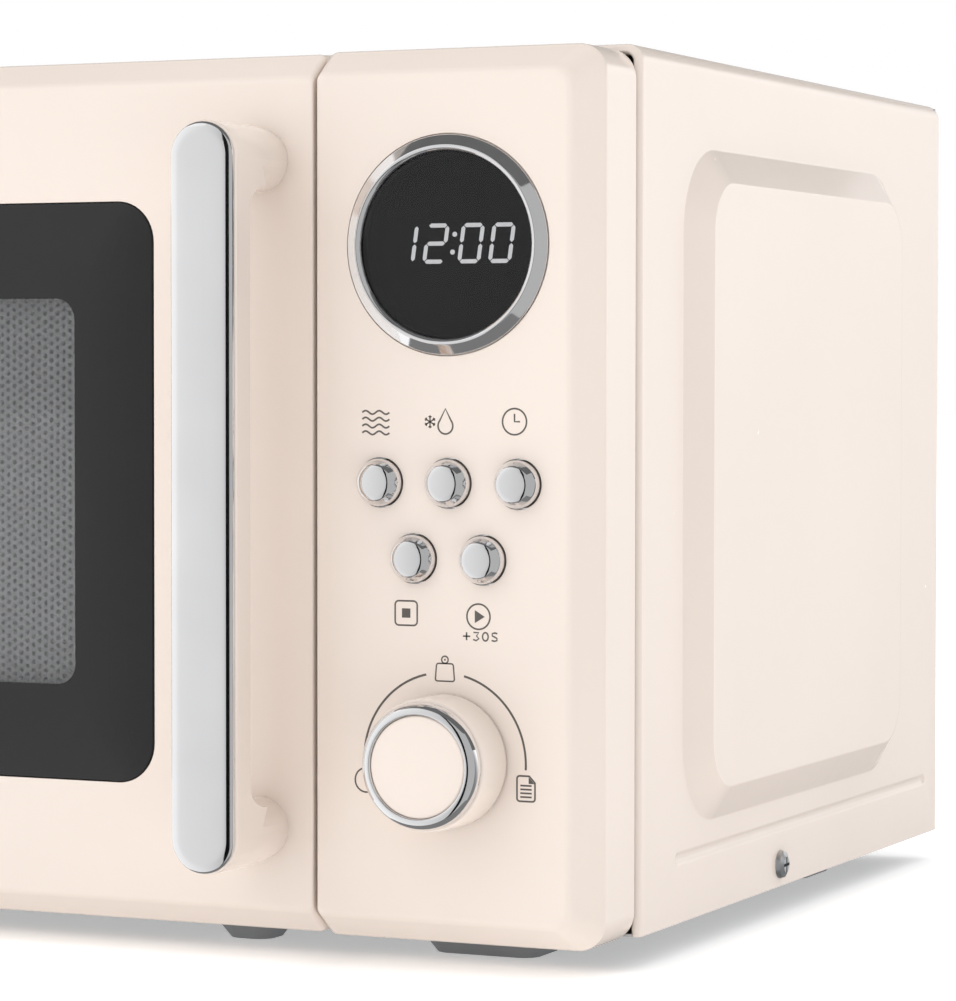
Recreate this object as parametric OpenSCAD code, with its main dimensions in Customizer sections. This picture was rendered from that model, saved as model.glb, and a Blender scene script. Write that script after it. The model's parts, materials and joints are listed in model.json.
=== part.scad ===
// Countertop microwave oven in a rounded retro style.
// +Z is up, the front faces -Y, and +X is on the right when the door is faced.
// The origin is the bottom centre of the whole object. All sizes are millimetres.

/* [Front] */
// Width of the front, door and control panel together
front_w = 440; // [436:1:446]
// Height of the front, without the feet
front_h = 250; // [248:1:254]
// Depth of the front, from its face to the edge of the cabinet
front_d = 30; // [30:0.5:32]
// Width of the control panel, measured to the middle of the door gap
panel_w = 85.1; // [84:0.1:88]
// Gap between the door and the control panel
door_gap = 1.2; // [1.2:0.1:2]
// Radius of the front's outer corners
corner_r = 8; // [7:0.5:9]
// Radius of the front's top and bottom edges
edge_r = 6; // [5:0.5:7]

/* [Cabinet] */
// Height of the front's underside above the floor
foot_h = 8.5; // [8:0.5:10]
// Overall depth, from the handle to the rear spacers
overall_d = 350; // [346:1:360]
// How far the cabinet's sides stand outside the front
cabinet_step = 1; // [0.8:0.1:1.2]
// How far the cabinet's top stands above the front
cabinet_rise = 1.5; // [1.2:0.1:2]
// Thickness of the painted sheet steel
sheet = 0.8; // [0.7:0.1:0.9]
// Height of the raised panel pressed into each side
emboss_h = 6; // [5:0.5:7]
// Width of the sloping border of that raised panel
emboss_slope = 10; // [8:0.5:12]
// Corner radius of that raised panel at its foot
emboss_r = 25; // [20:1:30]

/* [Door] */
// Thickness of the whole door
door_d = 26.7; // [26:0.1:26.9]
// Largest opening angle is set in the record; this is the hinge axis from the left edge
hinge_in = 9; // [8.6:0.1:9]
// Hinge axis behind the front face
hinge_back = 9; // [8.6:0.1:9]
// Height of the glass
glass_h = 167; // [160:1:170]
// How far the glass stops short of the door's right edge
glass_right = 51.2; // [50:0.1:54]
// Height of the handle
handle_h = 207; // [200:1:210]
// How far the handle stands out of the door
handle_out = 35.5; // [34:0.5:37]

/* [Controls] */
// Diameter of the buttons
button_d = 13.4; // [12.6:0.2:13.6]
// Distance between neighbouring buttons in a row
button_pitch = 21.04; // [20:0.02:22]
// Diameter of the knob
knob_d = 37.3; // [34:0.1:39]
// Diameter of the ring around the display
display_d = 61; // [58:0.1:62]

/* [Turntable] */
// Diameter of the glass tray
tray_d = 245; // [235:1:247]
// Radius of the roller wheels
wheel_r = 7; // [6.8:0.1:7.2]

/* [Hidden] */
$fn = 64;

cream = "linen";
eps = 0.01;

// Main planes
right = front_w / 2;
z_low = foot_h;
z_high = foot_h + front_h;
z_mid = foot_h + front_h / 2;
y_face = handle_out - overall_d / 2;
spacer_d = 8.5;
spacer_x = right - 28;
spacer_z = z_high - 20;
y_back = overall_d / 2 - spacer_d;
cabinet_x = right + cabinet_step;
cabinet_z = z_high + cabinet_rise;
cabinet_y = y_face + front_d + 1.5;
cabinet_low = z_low + 1.3;
cabinet_corner = 5;
hem_d = 5;

// Front plate: the painted wall around the oven's mouth
plate_gap = 1.8;
plate_y = y_face + door_d + plate_gap;
plate_back = plate_y + sheet;

// Oven cavity
cavity_x = [-right + 16, right - 124];
cavity_y = [plate_back, y_back - 16.5];
cavity_z = [z_low + 23.5, z_high - 26.5];
cavity_r = 14;

// Door
door_x = [-right, right - panel_w - door_gap / 2];
door_z = [z_low + 0.5, z_high - 0.5];
door_back = y_face + door_d;
door_wall = 2.5;
door_skin = 3;
glass_x = [door_x[0] + 24, door_x[1] - glass_right];
glass_z = [z_mid - glass_h / 2, z_mid + glass_h / 2];
glass_t = 3.2;
glass_r = 11.5;
inner_x = [door_x[0] + 4, door_x[1] - 22.3];
inner_z = [z_low + 13.5, z_high - 13.5];
window_x = [glass_x[0] + 12, glass_x[1] - 12];
window_z = [glass_z[0] + 12, glass_z[1] - 12];
inner_y = y_face + 10.1;
inner_t = 0.8;
choke_y = door_back - 1.5;

// Hinge
hinge_x = -right + hinge_in;
hinge_y = y_face + hinge_back;
pin_r = 2.5;
arm_t = 3;
arm_z = z_low + 5.9;

// Handle
handle_x = door_x[1] - 16.6;
handle_w = 20.6;
strip_w = 19.2;
strip_t = 2;
bar_t = 8;
post_r = 8.85;
post_z = [z_mid - 94.4, z_mid + 94.4];

// Latch
latch_x = door_x[1] - 12.3;
latch_w = 4;
hook_z = [z_low + 51.5, z_low + 196.5];
catch_y = plate_back + 5.2;

// Control panel
panel_x = [right - panel_w + door_gap / 2, right];
panel_skin = 2.6;
panel_wall = 2.2;
panel_back = y_face + front_d;
panel_mid = right - 43;
display_x = right - 44.1;
display_z = z_mid + 70.04;
knob_x = right - 44.1;
knob_z = z_mid - 72.9;
row_z = [z_mid + 4.1, z_mid - 16.95];
button_r = button_d / 2;
button_hole_r = button_r + 0.35;
button_travel = 1.2;
stem_end = y_face + 9.6;
board_y = y_face + 14.8;
board_t = 1.6;
shaft_r = 3;

// Turntable
axle_r = 2;
tray_x = (cavity_x[0] + cavity_x[1]) / 2;
tray_y = (cavity_y[0] + cavity_y[1]) / 2;
floor_z = cavity_z[0];
wheel_z = floor_z + 0.35 + wheel_r;
wheel_at = 91;
wheel_w = 8;
tray_z = wheel_z + wheel_r + 0.3;

// Machine bay, to the right of the cavity
bay_x = cavity_x[1] + sheet;
bay_floor = z_low + 2.3;
fan_x = right - 62;
fan_z = z_low + 181.5;
fan_r = 42;
fan_y = y_back - 20;
fan_shaft_r = 1.6;

running = 0.05;

// ---- Helpers ----

// Straight block between two corners
module block(low, high) {
  translate(low) cube(high - low);
}

// Prism along X from a profile drawn in Y and Z
module along_x(from, to) {
  translate([from, 0, 0]) rotate([90, 0, 90]) linear_extrude(to - from) children();
}

// Prism along Y from a profile drawn in X and Z
module along_y(from, to) {
  translate([0, to, 0]) rotate([90, 0, 0]) linear_extrude(to - from) children();
}

// Prism along Z from a profile drawn in X and Y
module along_z(from, to) {
  translate([0, 0, from]) linear_extrude(to - from) children();
}

// Round bars along each axis
module rod_x(y, z, from, to, r) {
  translate([from, y, z]) rotate([0, 90, 0]) cylinder(h = to - from, r = r);
}

module rod_y(x, z, from, to, r) {
  translate([x, from, z]) rotate([-90, 0, 0]) cylinder(h = to - from, r = r);
}

module rod_z(x, y, from, to, r) {
  translate([x, y, from]) cylinder(h = to - from, r = r);
}

// Solid of revolution about an axis along Y, its profile drawn as radius and depth
module turned_y(x, y, z) {
  translate([x, y, z]) rotate([-90, 0, 0]) rotate_extrude() children();
}

// Rectangle with its own radius at each corner: low-low, high-low, high-high, low-high
module round_rect(low, high, radii) {
  r = is_list(radii) ? radii : [radii, radii, radii, radii];
  polygon([
    [low.x + r[0], low.y], [high.x - r[1], low.y], [high.x, low.y + r[1]],
    [high.x, high.y - r[2]], [high.x - r[2], high.y], [low.x + r[3], high.y],
    [low.x, high.y - r[3]], [low.x, low.y + r[0]],
  ]);
  translate([low.x + r[0], low.y + r[0]]) circle(r[0]);
  translate([high.x - r[1], low.y + r[1]]) circle(r[1]);
  translate([high.x - r[2], high.y - r[2]]) circle(r[2]);
  translate([low.x + r[3], high.y - r[3]]) circle(r[3]);
}

// Block with rounded front edges: radii of the corners seen from the front,
// of the left and right front edges, and of the rear left edge
module rounded_front(x, y, z, corners, left_r, right_r, rear_r) {
  intersection() {
    along_y(y[0], y[1]) round_rect([x[0], z[0]], [x[1], z[1]], corners);
    along_z(z[0] - 1, z[1] + 1)
      round_rect([x[0], y[0]], [x[1], y[1]], [left_r, right_r, 0.5, rear_r]);
    along_x(x[0] - 1, x[1] + 1)
      round_rect([y[0], z[0]], [y[1], z[1]], [edge_r, 0.5, 0.5, edge_r]);
  }
}

// Flat ring cut as a frame
module frame_y(x, z, y, border, r) {
  along_y(y[0], y[1]) difference() {
    round_rect([x[0], z[0]], [x[1], z[1]], r);
    round_rect([x[0] + border, z[0] + border], [x[1] - border, z[1] - border], max(r - border, 0.5));
  }
}

// Pan-head screw along Y with a cross recess, its head towards -Y
module screw_y(x, y, z, head_r, length) {
  difference() {
    union() {
      turned_y(x, y, z) polygon([[0, -2.2], [head_r * 0.55, -2.2], [head_r * 0.9, -1.4], [head_r, 0], [0, 0]]);
      rod_y(x, z, y, y + length, head_r * 0.45);
    }
    for (turn = [0, 90])
      translate([x, y - 1.6, z]) rotate([0, turn, 0]) cube([head_r * 1.1, 2, 0.9], center = true);
  }
}

// ---- Cabinet ----

// Raised panel on the right side: a rounded plateau with sloping borders,
// standing on the plane base_x and carried inwards by depth
module side_bulge(base_x, depth) {
  r_foot = emboss_r + emboss_slope * depth / emboss_h;
  r_top = emboss_r - emboss_slope;
  x = [base_x - depth, base_x + emboss_h];
  y = [y_face + 63.8 + emboss_r, y_face + 257.5 - emboss_r];
  z = [z_mid - 96.5 + emboss_r, z_mid + 99.8 - emboss_r];
  for (at_y = y) {
    for (at_z = z) {
      translate([x[0], at_y, at_z]) rotate([0, 90, 0]) cylinder(h = x[1] - x[0], r1 = r_foot, r2 = r_top);
    }
  }
  along_y(y[0], y[1])
    polygon([[x[0], z[0] - r_foot], [x[1], z[0] - r_top], [x[1], z[1] + r_top], [x[0], z[1] + r_foot]]);
  along_z(z[0], z[1])
    polygon([[x[0], y[0] - r_foot], [x[1], y[0] - r_top], [x[1], y[1] + r_top], [x[0], y[1] + r_foot]]);
}

// Long bead with round ends pressed inwards below the raised panel
module bead(x_from, x_to, r) {
  y = [y_face + 61, y_back - 11];
  z = z_mid - 105;
  along_x(x_from, x_to) {
    translate([y[0], z - r]) square([y[1] - y[0], 2 * r]);
    translate([y[0], z]) circle(r);
    translate([y[1], z]) circle(r);
  }
}

module cabinet_outline(inset) {
  w = cabinet_x - inset;
  r = max(cabinet_corner - inset, 0.5);
  intersection() {
    round_rect([-w, cabinet_low - 40], [w, cabinet_z - inset], r);
    translate([-w, cabinet_low]) square([2 * w, cabinet_z]);
  }
}

module both_sides() {
  children();
  mirror([1, 0, 0]) children();
}

module outer_cabinet() {
  flange = 12;
  color(cream) difference() {
    union() {
      along_y(cabinet_y, y_back) difference() {
        cabinet_outline(0);
        translate([0, -eps]) cabinet_outline(sheet);
      }
      // Folded hem along the front edge
      along_y(cabinet_y, cabinet_y + hem_d) difference() {
        cabinet_outline(0.4);
        cabinet_outline(2 * sheet);
      }
      // Flange turned in behind the rear panel
      along_y(y_back - sheet, y_back) difference() {
        cabinet_outline(0.4);
        translate([0, -eps]) cabinet_outline(flange);
      }
      both_sides() side_bulge(cabinet_x, 0.4);
      both_sides() bead(cabinet_x - 2 * sheet, cabinet_x - 0.4, 3);
    }
    both_sides() side_bulge(cabinet_x - sheet, 1);
    both_sides() bead(cabinet_x - sheet, cabinet_x + 1, 2);
    // Holes for the screws into the base plate
    both_sides() rod_x(y_face + 147.5, z_low + 8.1, cabinet_x - 3, cabinet_x + 1, 2.2);
    for (at = rear_screw_at) rod_y(at.x, at.y, y_back - 3, y_back + 1, 2.2);
  }
}

rear_screw_at = [
  [-right + 6, z_mid + 80], [right - 6, z_mid + 80], [-right + 6, z_mid - 80],
  [right - 6, z_mid - 80], [0, cabinet_z - 6],
];

module base_plate() {
  lip_h = 14;
  hem_back = cabinet_y + hem_d + 0.2;
  x_in = cabinet_x - sheet - 0.3;
  color("silver") difference() {
    union() {
      block([-x_in, hem_back, bay_floor - sheet], [x_in, y_back - 2.2, bay_floor]);
      block([1 - x_in, panel_back + 0.2, bay_floor - sheet], [x_in - 1, hem_back + eps, bay_floor]);
      both_sides() block([x_in - sheet, hem_back, bay_floor - eps], [x_in, y_back - 2.2, bay_floor + lip_h]);
    }
    both_sides() rod_x(y_face + 147.5, z_low + 8.1, x_in - 2, x_in + 1, 2.2);
    // Air slots under the machine bay and under the turntable motor
    for (i = [0:7])
      along_z(bay_floor - 3, bay_floor + 1)
        round_rect([right - 145, y_back - 60 + 6 * i], [right - 95, y_back - 57 + 6 * i], 1.4);
    for (i = [0:4])
      along_z(bay_floor - 3, bay_floor + 1)
        round_rect([-right + 40, y_face + 80 + 8 * i], [-right + 80, y_face + 84 + 8 * i], 1.9);
  }
}

module rear_panel() {
  grid = 9;
  hole_r = 2.6;
  x_in = cabinet_x - sheet - 0.3;
  color("silver") difference() {
    block([-x_in, y_back - 2 * sheet - 0.1, bay_floor + 0.1], [x_in, y_back - sheet - 0.1, cabinet_z - sheet - 0.3]);
    // Fan inlet
    for (i = [-grid / 2 + 0.5:grid / 2 - 0.5])
      for (j = [-grid / 2 + 0.5:grid / 2 - 0.5])
        if (norm([i, j]) < grid / 2)
          rod_y(fan_x + 8.4 * i, fan_z + 8.4 * j, y_back - 3, y_back + 1, hole_r);
    // Outlet slots behind the cavity
    for (i = [0:11])
      along_y(y_back - 3, y_back + 1)
        round_rect([-right + 50 + 9 * i, z_high - 70], [-right + 54.4 + 9 * i, z_high - 30], 2.1);
    for (at = rear_screw_at) rod_y(at.x, at.y, y_back - 3, y_back + 1, 2.2);
    rod_y(right - 30, z_low + 34, y_back - 3, y_back + 1, 7.5);
    for (side = [-1, 1]) rod_y(side * spacer_x, spacer_z, y_back - 3, y_back + 1, 3.2);
  }
}

module front_plate() {
  x_in = cabinet_x - sheet - 0.3;
  lip = cabinet_y - plate_y - 0.2;
  split = right - panel_w;
  top = cabinet_z - sheet - 0.3;
  panel_in = panel_x[1] - panel_wall - 0.4;
  color(cream) difference() {
    union() {
      along_y(plate_y, plate_back) union() {
        round_rect([-x_in, bay_floor + 0.1], [split, top], [2, 2, 0.6, cabinet_corner - 1]);
        round_rect([split - 5, bay_floor + 0.5], [panel_in, z_high - panel_wall - 0.4], 0.6);
      }
      block([-x_in, plate_y + eps, bay_floor + 15], [-x_in + sheet, plate_y + lip, top - 5]);
      block([-x_in + 5, plate_y + eps, top - sheet], [split - 1, plate_y + lip, top]);
      block([panel_in - sheet, plate_y + eps, bay_floor + 15], [panel_in, plate_y + lip, z_high - 5]);
    }
    along_y(plate_y - 1, plate_back + 1)
      round_rect([cavity_x[0], cavity_z[0]], [cavity_x[1], cavity_z[1]], cavity_r);
    for (z = hook_z)
      block([latch_x - 6, plate_y - 1, z - 5], [latch_x + 6, plate_back + 1, z + 13]);
    for (z = [arm_z, 2 * z_mid - arm_z - arm_t])
      block([hinge_x - 4.5, plate_y - 1, z - 0.7], [hinge_x + 4.5, plate_back + 1, z + arm_t + 0.7]);
    // Windows for the wires of the control panel
    block([panel_mid - 20, plate_y - 1, z_mid - 90], [panel_mid + 25, plate_back + 1, z_mid - 40]);
    block([panel_mid - 20, plate_y - 1, z_mid + 30], [panel_mid + 25, plate_back + 1, z_mid + 90]);
  }
}

module cavity_shell() {
  port_y = [tray_y + 10, tray_y + 70];
  port_z = [z_mid + 6, z_mid + 46];
  color("gainsboro") difference() {
    along_y(cavity_y[0], cavity_y[1] + sheet)
      round_rect([cavity_x[0] - sheet, cavity_z[0] - sheet], [cavity_x[1] + sheet, cavity_z[1] + sheet], cavity_r + sheet);
    along_y(cavity_y[0] - 1, cavity_y[1])
      round_rect([cavity_x[0], cavity_z[0]], [cavity_x[1], cavity_z[1]], cavity_r);
    rod_z(tray_x, tray_y, floor_z - 3, floor_z + 1, 8);
    block([cavity_x[1] - 1, port_y[0], port_z[0]], [cavity_x[1] + 2, port_y[1], port_z[1]]);
    // Lamp window and steam outlet
    for (i = [0:4])
      for (j = [0:4])
        rod_x(y_face + 82 + 5 * i, z_high - 60 + 5 * j, cavity_x[1] - 1, cavity_x[1] + 2, 1.6);
    for (i = [0:9])
      for (j = [0:3])
        rod_y(cavity_x[0] + 40 + 6 * i, z_high - 62 + 6 * j, cavity_y[1] - 1, cavity_y[1] + 2, 1.6);
  }
}

// Foot with sloping sides, wider at the top
module foot(x, y, w, d) {
  taper = 6;
  hull() {
    along_z(bay_floor - sheet - 0.6, bay_floor - sheet - eps)
      translate([x, y]) round_rect([-w / 2, -d / 2], [w / 2, d / 2], 7);
    along_z(0, 0.8)
      translate([x, y]) round_rect([taper - w / 2, taper - d / 2], [w / 2 - taper, d / 2 - taper], 5);
  }
}

module feet() {
  color("dimgray") {
    for (side = [-1, 1]) {
      foot(side * (right - 51.6), y_face + 52, 44, 34);
      foot(side * (right - 36), y_back - 58.5, 40, 40);
    }
    foot(right - 128.6, y_face + 48, 26, 26);
  }
}

module cord_gland() {
  x = right - 30;
  z = z_low + 34;
  color("black") difference() {
    union() {
      rod_y(x, z, y_back - 10, y_back + 4, 7.2);
      turned_y(x, y_back - sheet - 0.1, z)
        polygon([[0, 0], [10.5, 0], [10.5, 1.5], [8, 5], [0, 5]]);
      rod_y(x, z, y_back - 12, y_back - 2 * sheet - 0.3, 9.5);
    }
    rod_y(x, z, y_back - 13, y_back + 6, 3.6);
  }
}

module rear_spacers() {
  color("dimgray") for (side = [-1, 1]) {
    turned_y(side * spacer_x, y_back - sheet - 0.1, spacer_z)
      polygon([[0, 0], [10, 0], [10, 4], [8, spacer_d + 0.3], [6.6, spacer_d + sheet + 0.1], [0, spacer_d + sheet + 0.1]]);
    rod_y(side * spacer_x, spacer_z, y_back - 2 * sheet - 0.3, y_back - sheet, 3);
  }
}

module cabinet_screws() {
  color("silver") {
    both_sides() translate([cabinet_x, y_face + 147.5, z_low + 8.1])
      rotate([0, 0, 90]) screw_y(0, 0, 0, 4.4, 5);
    for (at = rear_screw_at)
      translate([at.x, y_back, at.y]) rotate([0, 0, 180]) screw_y(0, 0, 0, 4.2, 6);
  }
}

// ---- Control panel ----

button_at = [
  [display_x - button_pitch + 0.6, row_z[0]], [display_x + 0.5, row_z[0]],
  [display_x + button_pitch + 0.5, row_z[0]], [display_x - button_pitch / 2 + 0.5, row_z[1]],
  [display_x + button_pitch / 2 + 0.5, row_z[1]],
];
post_at = [
  [panel_x[0] + 9, z_low + 22], [panel_x[1] - 9, z_low + 22],
  [panel_x[0] + 9, z_high - 18], [panel_x[1] - 9, z_high - 18],
];

module control_panel() {
  color(cream) difference() {
    union() {
      difference() {
        rounded_front(panel_x, [y_face, panel_back], [z_low, z_high],
                      [6, corner_r, corner_r, 6], 1.5, 7.5, 0.5);
        along_y(y_face + panel_skin, panel_back + 1)
          round_rect([panel_x[0] + panel_wall, z_low + panel_wall],
                     [panel_x[1] - panel_wall, z_high - panel_wall], 5);
      }
      for (at = post_at) rod_y(at.x, at.y, y_face + panel_skin - eps, board_y, 3.2);
    }
    // The left wall stops in front of the front plate
    block([panel_x[0] - 1, plate_y - 0.3, z_low - 1], [panel_x[0] + panel_wall + 0.6, panel_back + 1, z_high + 1]);
    rod_y(display_x, display_z, y_face - 1, y_face + 5, display_d / 2 - 2.7);
    for (at = button_at) rod_y(at.x, at.y, y_face - 1, y_face + 5, button_hole_r);
    rod_y(knob_x, knob_z, y_face - 1, y_face + 5, 4.7);
  }
}

module display_ring() {
  r = display_d / 2;
  color("silver") turned_y(display_x, y_face, display_z) {
    polygon([
      [r - 3.6, 3], [r - 3, 3], [r - 3, 0], [r, 0], [r, -0.4], [r - 2.5, -1.8], [r - 3.2, -2.3],
      [r - 4, -2.1], [r - 4.6, -1.2], [r - 4.6, -0.75], [r - 3.6, -0.75],
    ]);
  }
}

module display_lens() {
  r = display_d / 2 - 3.7;
  color("black") turned_y(display_x, y_face, display_z)
    polygon([[0, -0.9], [r * 0.7, -0.8], [r, -0.4], [r, 1.5], [0, 1.5]]);
}

module display_module() {
  color("black") block([display_x - 21, y_face + 6.5, display_z - 9], [display_x + 21, board_y, display_z + 9]);
}

module control_board() {
  color("darkgreen") {
    block([panel_x[0] + 5, board_y, z_low + 16], [panel_x[1] - 5, board_y + board_t, z_high - 12]);
    // Relay, transformer and connector on the rear
    block([panel_mid - 28, board_y + board_t - eps, z_mid + 8], [panel_mid - 10, board_y + 9, z_mid + 28]);
    block([panel_mid - 24, board_y + board_t - eps, z_mid - 28], [panel_mid - 4, board_y + 8, z_mid - 10]);
  }
}

module button_switches() {
  color("dimgray") for (at = button_at)
    block([at.x - 3, stem_end + button_travel + 0.4, at.y - 3], [at.x + 3, board_y, at.y + 3]);
}

module button(at) {
  flange_y = y_face + panel_skin + 0.5;
  color("silver") {
    turned_y(at.x, y_face, at.y)
      polygon([
        [0, -4.8], [button_r * 0.5, -4.65], [button_r * 0.72, -4.3], [button_r * 0.95, -1.6], [button_r, -0.5],
        [button_r, panel_skin + 0.5 + eps], [0, panel_skin + 0.5 + eps],
      ]);
    rod_y(at.x, at.y, flange_y, flange_y + 1.2, button_hole_r + 1.1);
    rod_y(at.x, at.y, flange_y + 1.2 - eps, stem_end, 2);
  }
}

module button_power() { button(button_at[0]); }
module button_defrost() { button(button_at[1]); }
module button_clock() { button(button_at[2]); }
module button_stop() { button(button_at[3]); }
module button_start() { button(button_at[4]); }

module knob_body() {
  r = knob_d / 2;
  color(cream) difference() {
    turned_y(knob_x, y_face, knob_z)
      polygon([
        [0, -15.4], [r - 0.9, -15.4], [r - 0.3, -14], [r, -2], [r, -0.6], [r - 2, -0.6],
        [r - 2.4, -13], [6.5, -13], [6.5, -0.9], [0, -0.9],
      ]);
    rod_y(knob_x, knob_z, y_face - 11.6, y_face, shaft_r + 0.01);
  }
}

module knob_ring() {
  r = knob_d / 2 - 1.05;
  color("silver") turned_y(knob_x, y_face, knob_z)
    polygon([
      [r - 3.35, -15.5], [r, -15.5], [r, -16.8], [r - 0.5, -18.3], [r - 1.6, -19.6],
      [r - 2.8, -19.8], [r - 3.35, -19.4],
    ]);
}

module knob_cap() {
  r = knob_d / 2 - 4.5;
  color(cream) turned_y(knob_x, y_face, knob_z)
    polygon([[0, -15.5], [r, -15.5], [r, -18.9], [r - 1, -19.3], [0, -19.3]]);
}

module encoder_body() {
  color("dimgray") difference() {
    union() {
      block([knob_x - 6.5, y_face + 7.5, knob_z - 6.5], [knob_x + 6.5, board_y, knob_z + 6.5]);
      rod_y(knob_x, knob_z, y_face - 0.4, y_face + 7.6, 4.5);
      rod_y(knob_x, knob_z, y_face + panel_skin + 0.1, y_face + panel_skin + 2, 7);
    }
    rod_y(knob_x, knob_z, y_face - 2, board_y - 1.5, shaft_r + running);
  }
}

module encoder_shaft() {
  color("silver") rod_y(knob_x, knob_z, y_face - 11.5, board_y - 2, shaft_r);
}

// ---- Door ----

module door_frame() {
  arm_low = arm_z - 0.6;
  arm_high = arm_z + arm_t + 0.6;
  color(cream) difference() {
    union() {
      difference() {
        rounded_front(door_x, [y_face, door_back], door_z,
                      [corner_r, 6, 6, corner_r], 7.5, 1.5, 3);
        along_y(y_face + door_skin, door_back + 1)
          round_rect([door_x[0] + door_wall, door_z[0] + door_wall],
                     [door_x[1] - door_wall, door_z[1] - door_wall], 5);
      }
      // Ledge behind the glass
      frame_y([glass_x[0] - 4, glass_x[1] + 4], [glass_z[0] - 4, glass_z[1] + 4],
              [y_face + 2, y_face + glass_t + 2.4], 10, glass_r + 4);
    }
    along_y(y_face - 1, y_face + glass_t + 0.2)
      round_rect([glass_x[0] - 0.3, glass_z[0] - 0.3], [glass_x[1] + 0.3, glass_z[1] + 0.3], glass_r + 0.3);
    along_y(y_face - 1, door_back + 1)
      round_rect([glass_x[0] + 6, glass_z[0] + 6], [glass_x[1] - 6, glass_z[1] - 6], 6);
    // Notches that the hinge arms pass through as the door swings
    for (z = [arm_low, 2 * z_mid - arm_high])
      block([door_x[0] - 1, hinge_y - 5.1, z], [door_x[0] + door_wall + 0.5, door_back + 1, z + arm_high - arm_low]);
    for (z = post_z) rod_y(handle_x, z, y_face - 1, y_face + 5, 2.3);
  }
}

module door_glass() {
  color("black") along_y(y_face, y_face + glass_t)
    round_rect([glass_x[0], glass_z[0]], [glass_x[1], glass_z[1]], glass_r);
}

module mesh_screen() {
  color("dimgray") along_y(inner_y - 0.6, inner_y)
    round_rect([window_x[0] - 5, window_z[0] - 5], [window_x[1] + 5, window_z[1] + 5], 6);
}

module door_inner_frame() {
  color("silver") {
    along_y(inner_y, inner_y + inner_t) difference() {
      round_rect([inner_x[0], inner_z[0]], [inner_x[1], inner_z[1]], 6);
      round_rect([window_x[0], window_z[0]], [window_x[1], window_z[1]], 5);
    }
    frame_y(inner_x, inner_z, [inner_y + inner_t - eps, choke_y - 0.1], 1, 6);
    frame_y([window_x[0] - 4, window_x[1] + 4], [window_z[0] - 4, window_z[1] + 4],
            [inner_y + inner_t - eps, choke_y - 0.1], 1, 8);
  }
}

module choke_cover() {
  color("dimgray") along_y(choke_y, door_back) difference() {
    round_rect([inner_x[0], inner_z[0]], [inner_x[1], inner_z[1]], 8);
    round_rect([window_x[0], window_z[0]], [window_x[1], window_z[1]], 5);
  }
}

module inner_window() {
  color("lightgray") along_y(inner_y + inner_t + 0.1, inner_y + inner_t + 0.6)
    round_rect([window_x[0] - 2.6, window_z[0] - 2.6], [window_x[1] + 2.6, window_z[1] + 2.6], 5);
}

module hinge_bushes() {
  low = door_z[0] + door_wall + 0.8;
  module pair() {
    rows = [[low, arm_z - 0.4], [arm_z + arm_t + 0.4, inner_z[0] - 0.3]];
    for (row = rows) difference() {
      block([hinge_x - 4, hinge_y - 5.6, row[0]], [hinge_x + 8, hinge_y + 6, row[1]]);
      rod_z(hinge_x, hinge_y, row[0] - 1, row[1] + 1, pin_r + running);
    }
  }
  color("white") {
    pair();
    translate([0, 0, 2 * z_mid]) mirror([0, 0, 1]) pair();
  }
}

module hinge_brackets() {
  module arm() {
    difference() {
      union() {
        block([hinge_x - 3.5, hinge_y, arm_z], [hinge_x + 3.5, plate_back + 2, arm_z + arm_t]);
        rod_z(hinge_x, hinge_y, arm_z, arm_z + arm_t, 5);
        block([hinge_x - 7, plate_back, arm_z - 1], [hinge_x + 5, plate_back + 2, arm_z + 40]);
      }
      rod_z(hinge_x, hinge_y, arm_z - 1, arm_z + arm_t + 1, pin_r + 0.01);
    }
  }
  color("silver") {
    arm();
    translate([0, 0, 2 * z_mid]) mirror([0, 0, 1]) arm();
  }
}

module hinge_pins() {
  low = door_z[0] + door_wall + 0.3;
  high = inner_z[0] - 0.6;
  color("silver") {
    rod_z(hinge_x, hinge_y, low, high, pin_r);
    rod_z(hinge_x, hinge_y, 2 * z_mid - high, 2 * z_mid - low, pin_r);
  }
}

module handle_body() {
  end = handle_h / 2 + 0.5;
  front = y_face - handle_out + strip_t;
  back = front + bar_t;
  inside = post_z[1] - post_r - 1;
  color(cream) difference() {
    intersection() {
      along_y(front, y_face)
        round_rect([handle_x - handle_w / 2, z_mid - end], [handle_x + handle_w / 2, z_mid + end], handle_w / 2 - 0.1);
      along_x(handle_x - handle_w, handle_x + handle_w) difference() {
        union() {
          round_rect([front, z_mid - end], [back + 10, z_mid + end], [3, 10, 10, 3]);
          translate([y_face - 25, post_z[0] - post_r]) square([25, 2 * post_r]);
          translate([y_face - 25, post_z[1] - post_r]) square([25, 2 * post_r]);
        }
        round_rect([back, 2 * z_mid - inside], [y_face + 10, inside], 9);
      }
    }
    for (z = post_z) rod_y(handle_x, z, y_face - 14, y_face + 1, 1.9);
  }
}

module handle_strip() {
  front = y_face - handle_out;
  color("silver") along_y(front, front + strip_t)
    round_rect([handle_x - strip_w / 2, z_mid - handle_h / 2], [handle_x + strip_w / 2, z_mid + handle_h / 2],
               strip_w / 2 - 0.1);
}

module handle_screws() {
  color("silver") for (z = post_z)
    translate([handle_x, y_face + door_skin, z]) rotate([0, 0, 180]) screw_y(0, 0, 0, 4, 15);
}

module latch_hooks() {
  bar_y = [y_face + 16, y_face + 21];
  tip_y = catch_y + 7.5;
  color("white") {
    block([latch_x - latch_w / 2, bar_y[0], hook_z[0] - 6], [latch_x + latch_w / 2, bar_y[1], hook_z[1] + 14]);
    for (z = hook_z)
      along_x(latch_x - latch_w / 2, latch_x + latch_w / 2)
        polygon([
          [bar_y[1] - 1, z], [catch_y + 3, z], [catch_y + 3, z - 2.6], [tip_y - 2.5, z - 2.6],
          [tip_y, z + 1], [tip_y, z + 8], [bar_y[1] - 1, z + 8],
        ]);
  }
}

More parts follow.
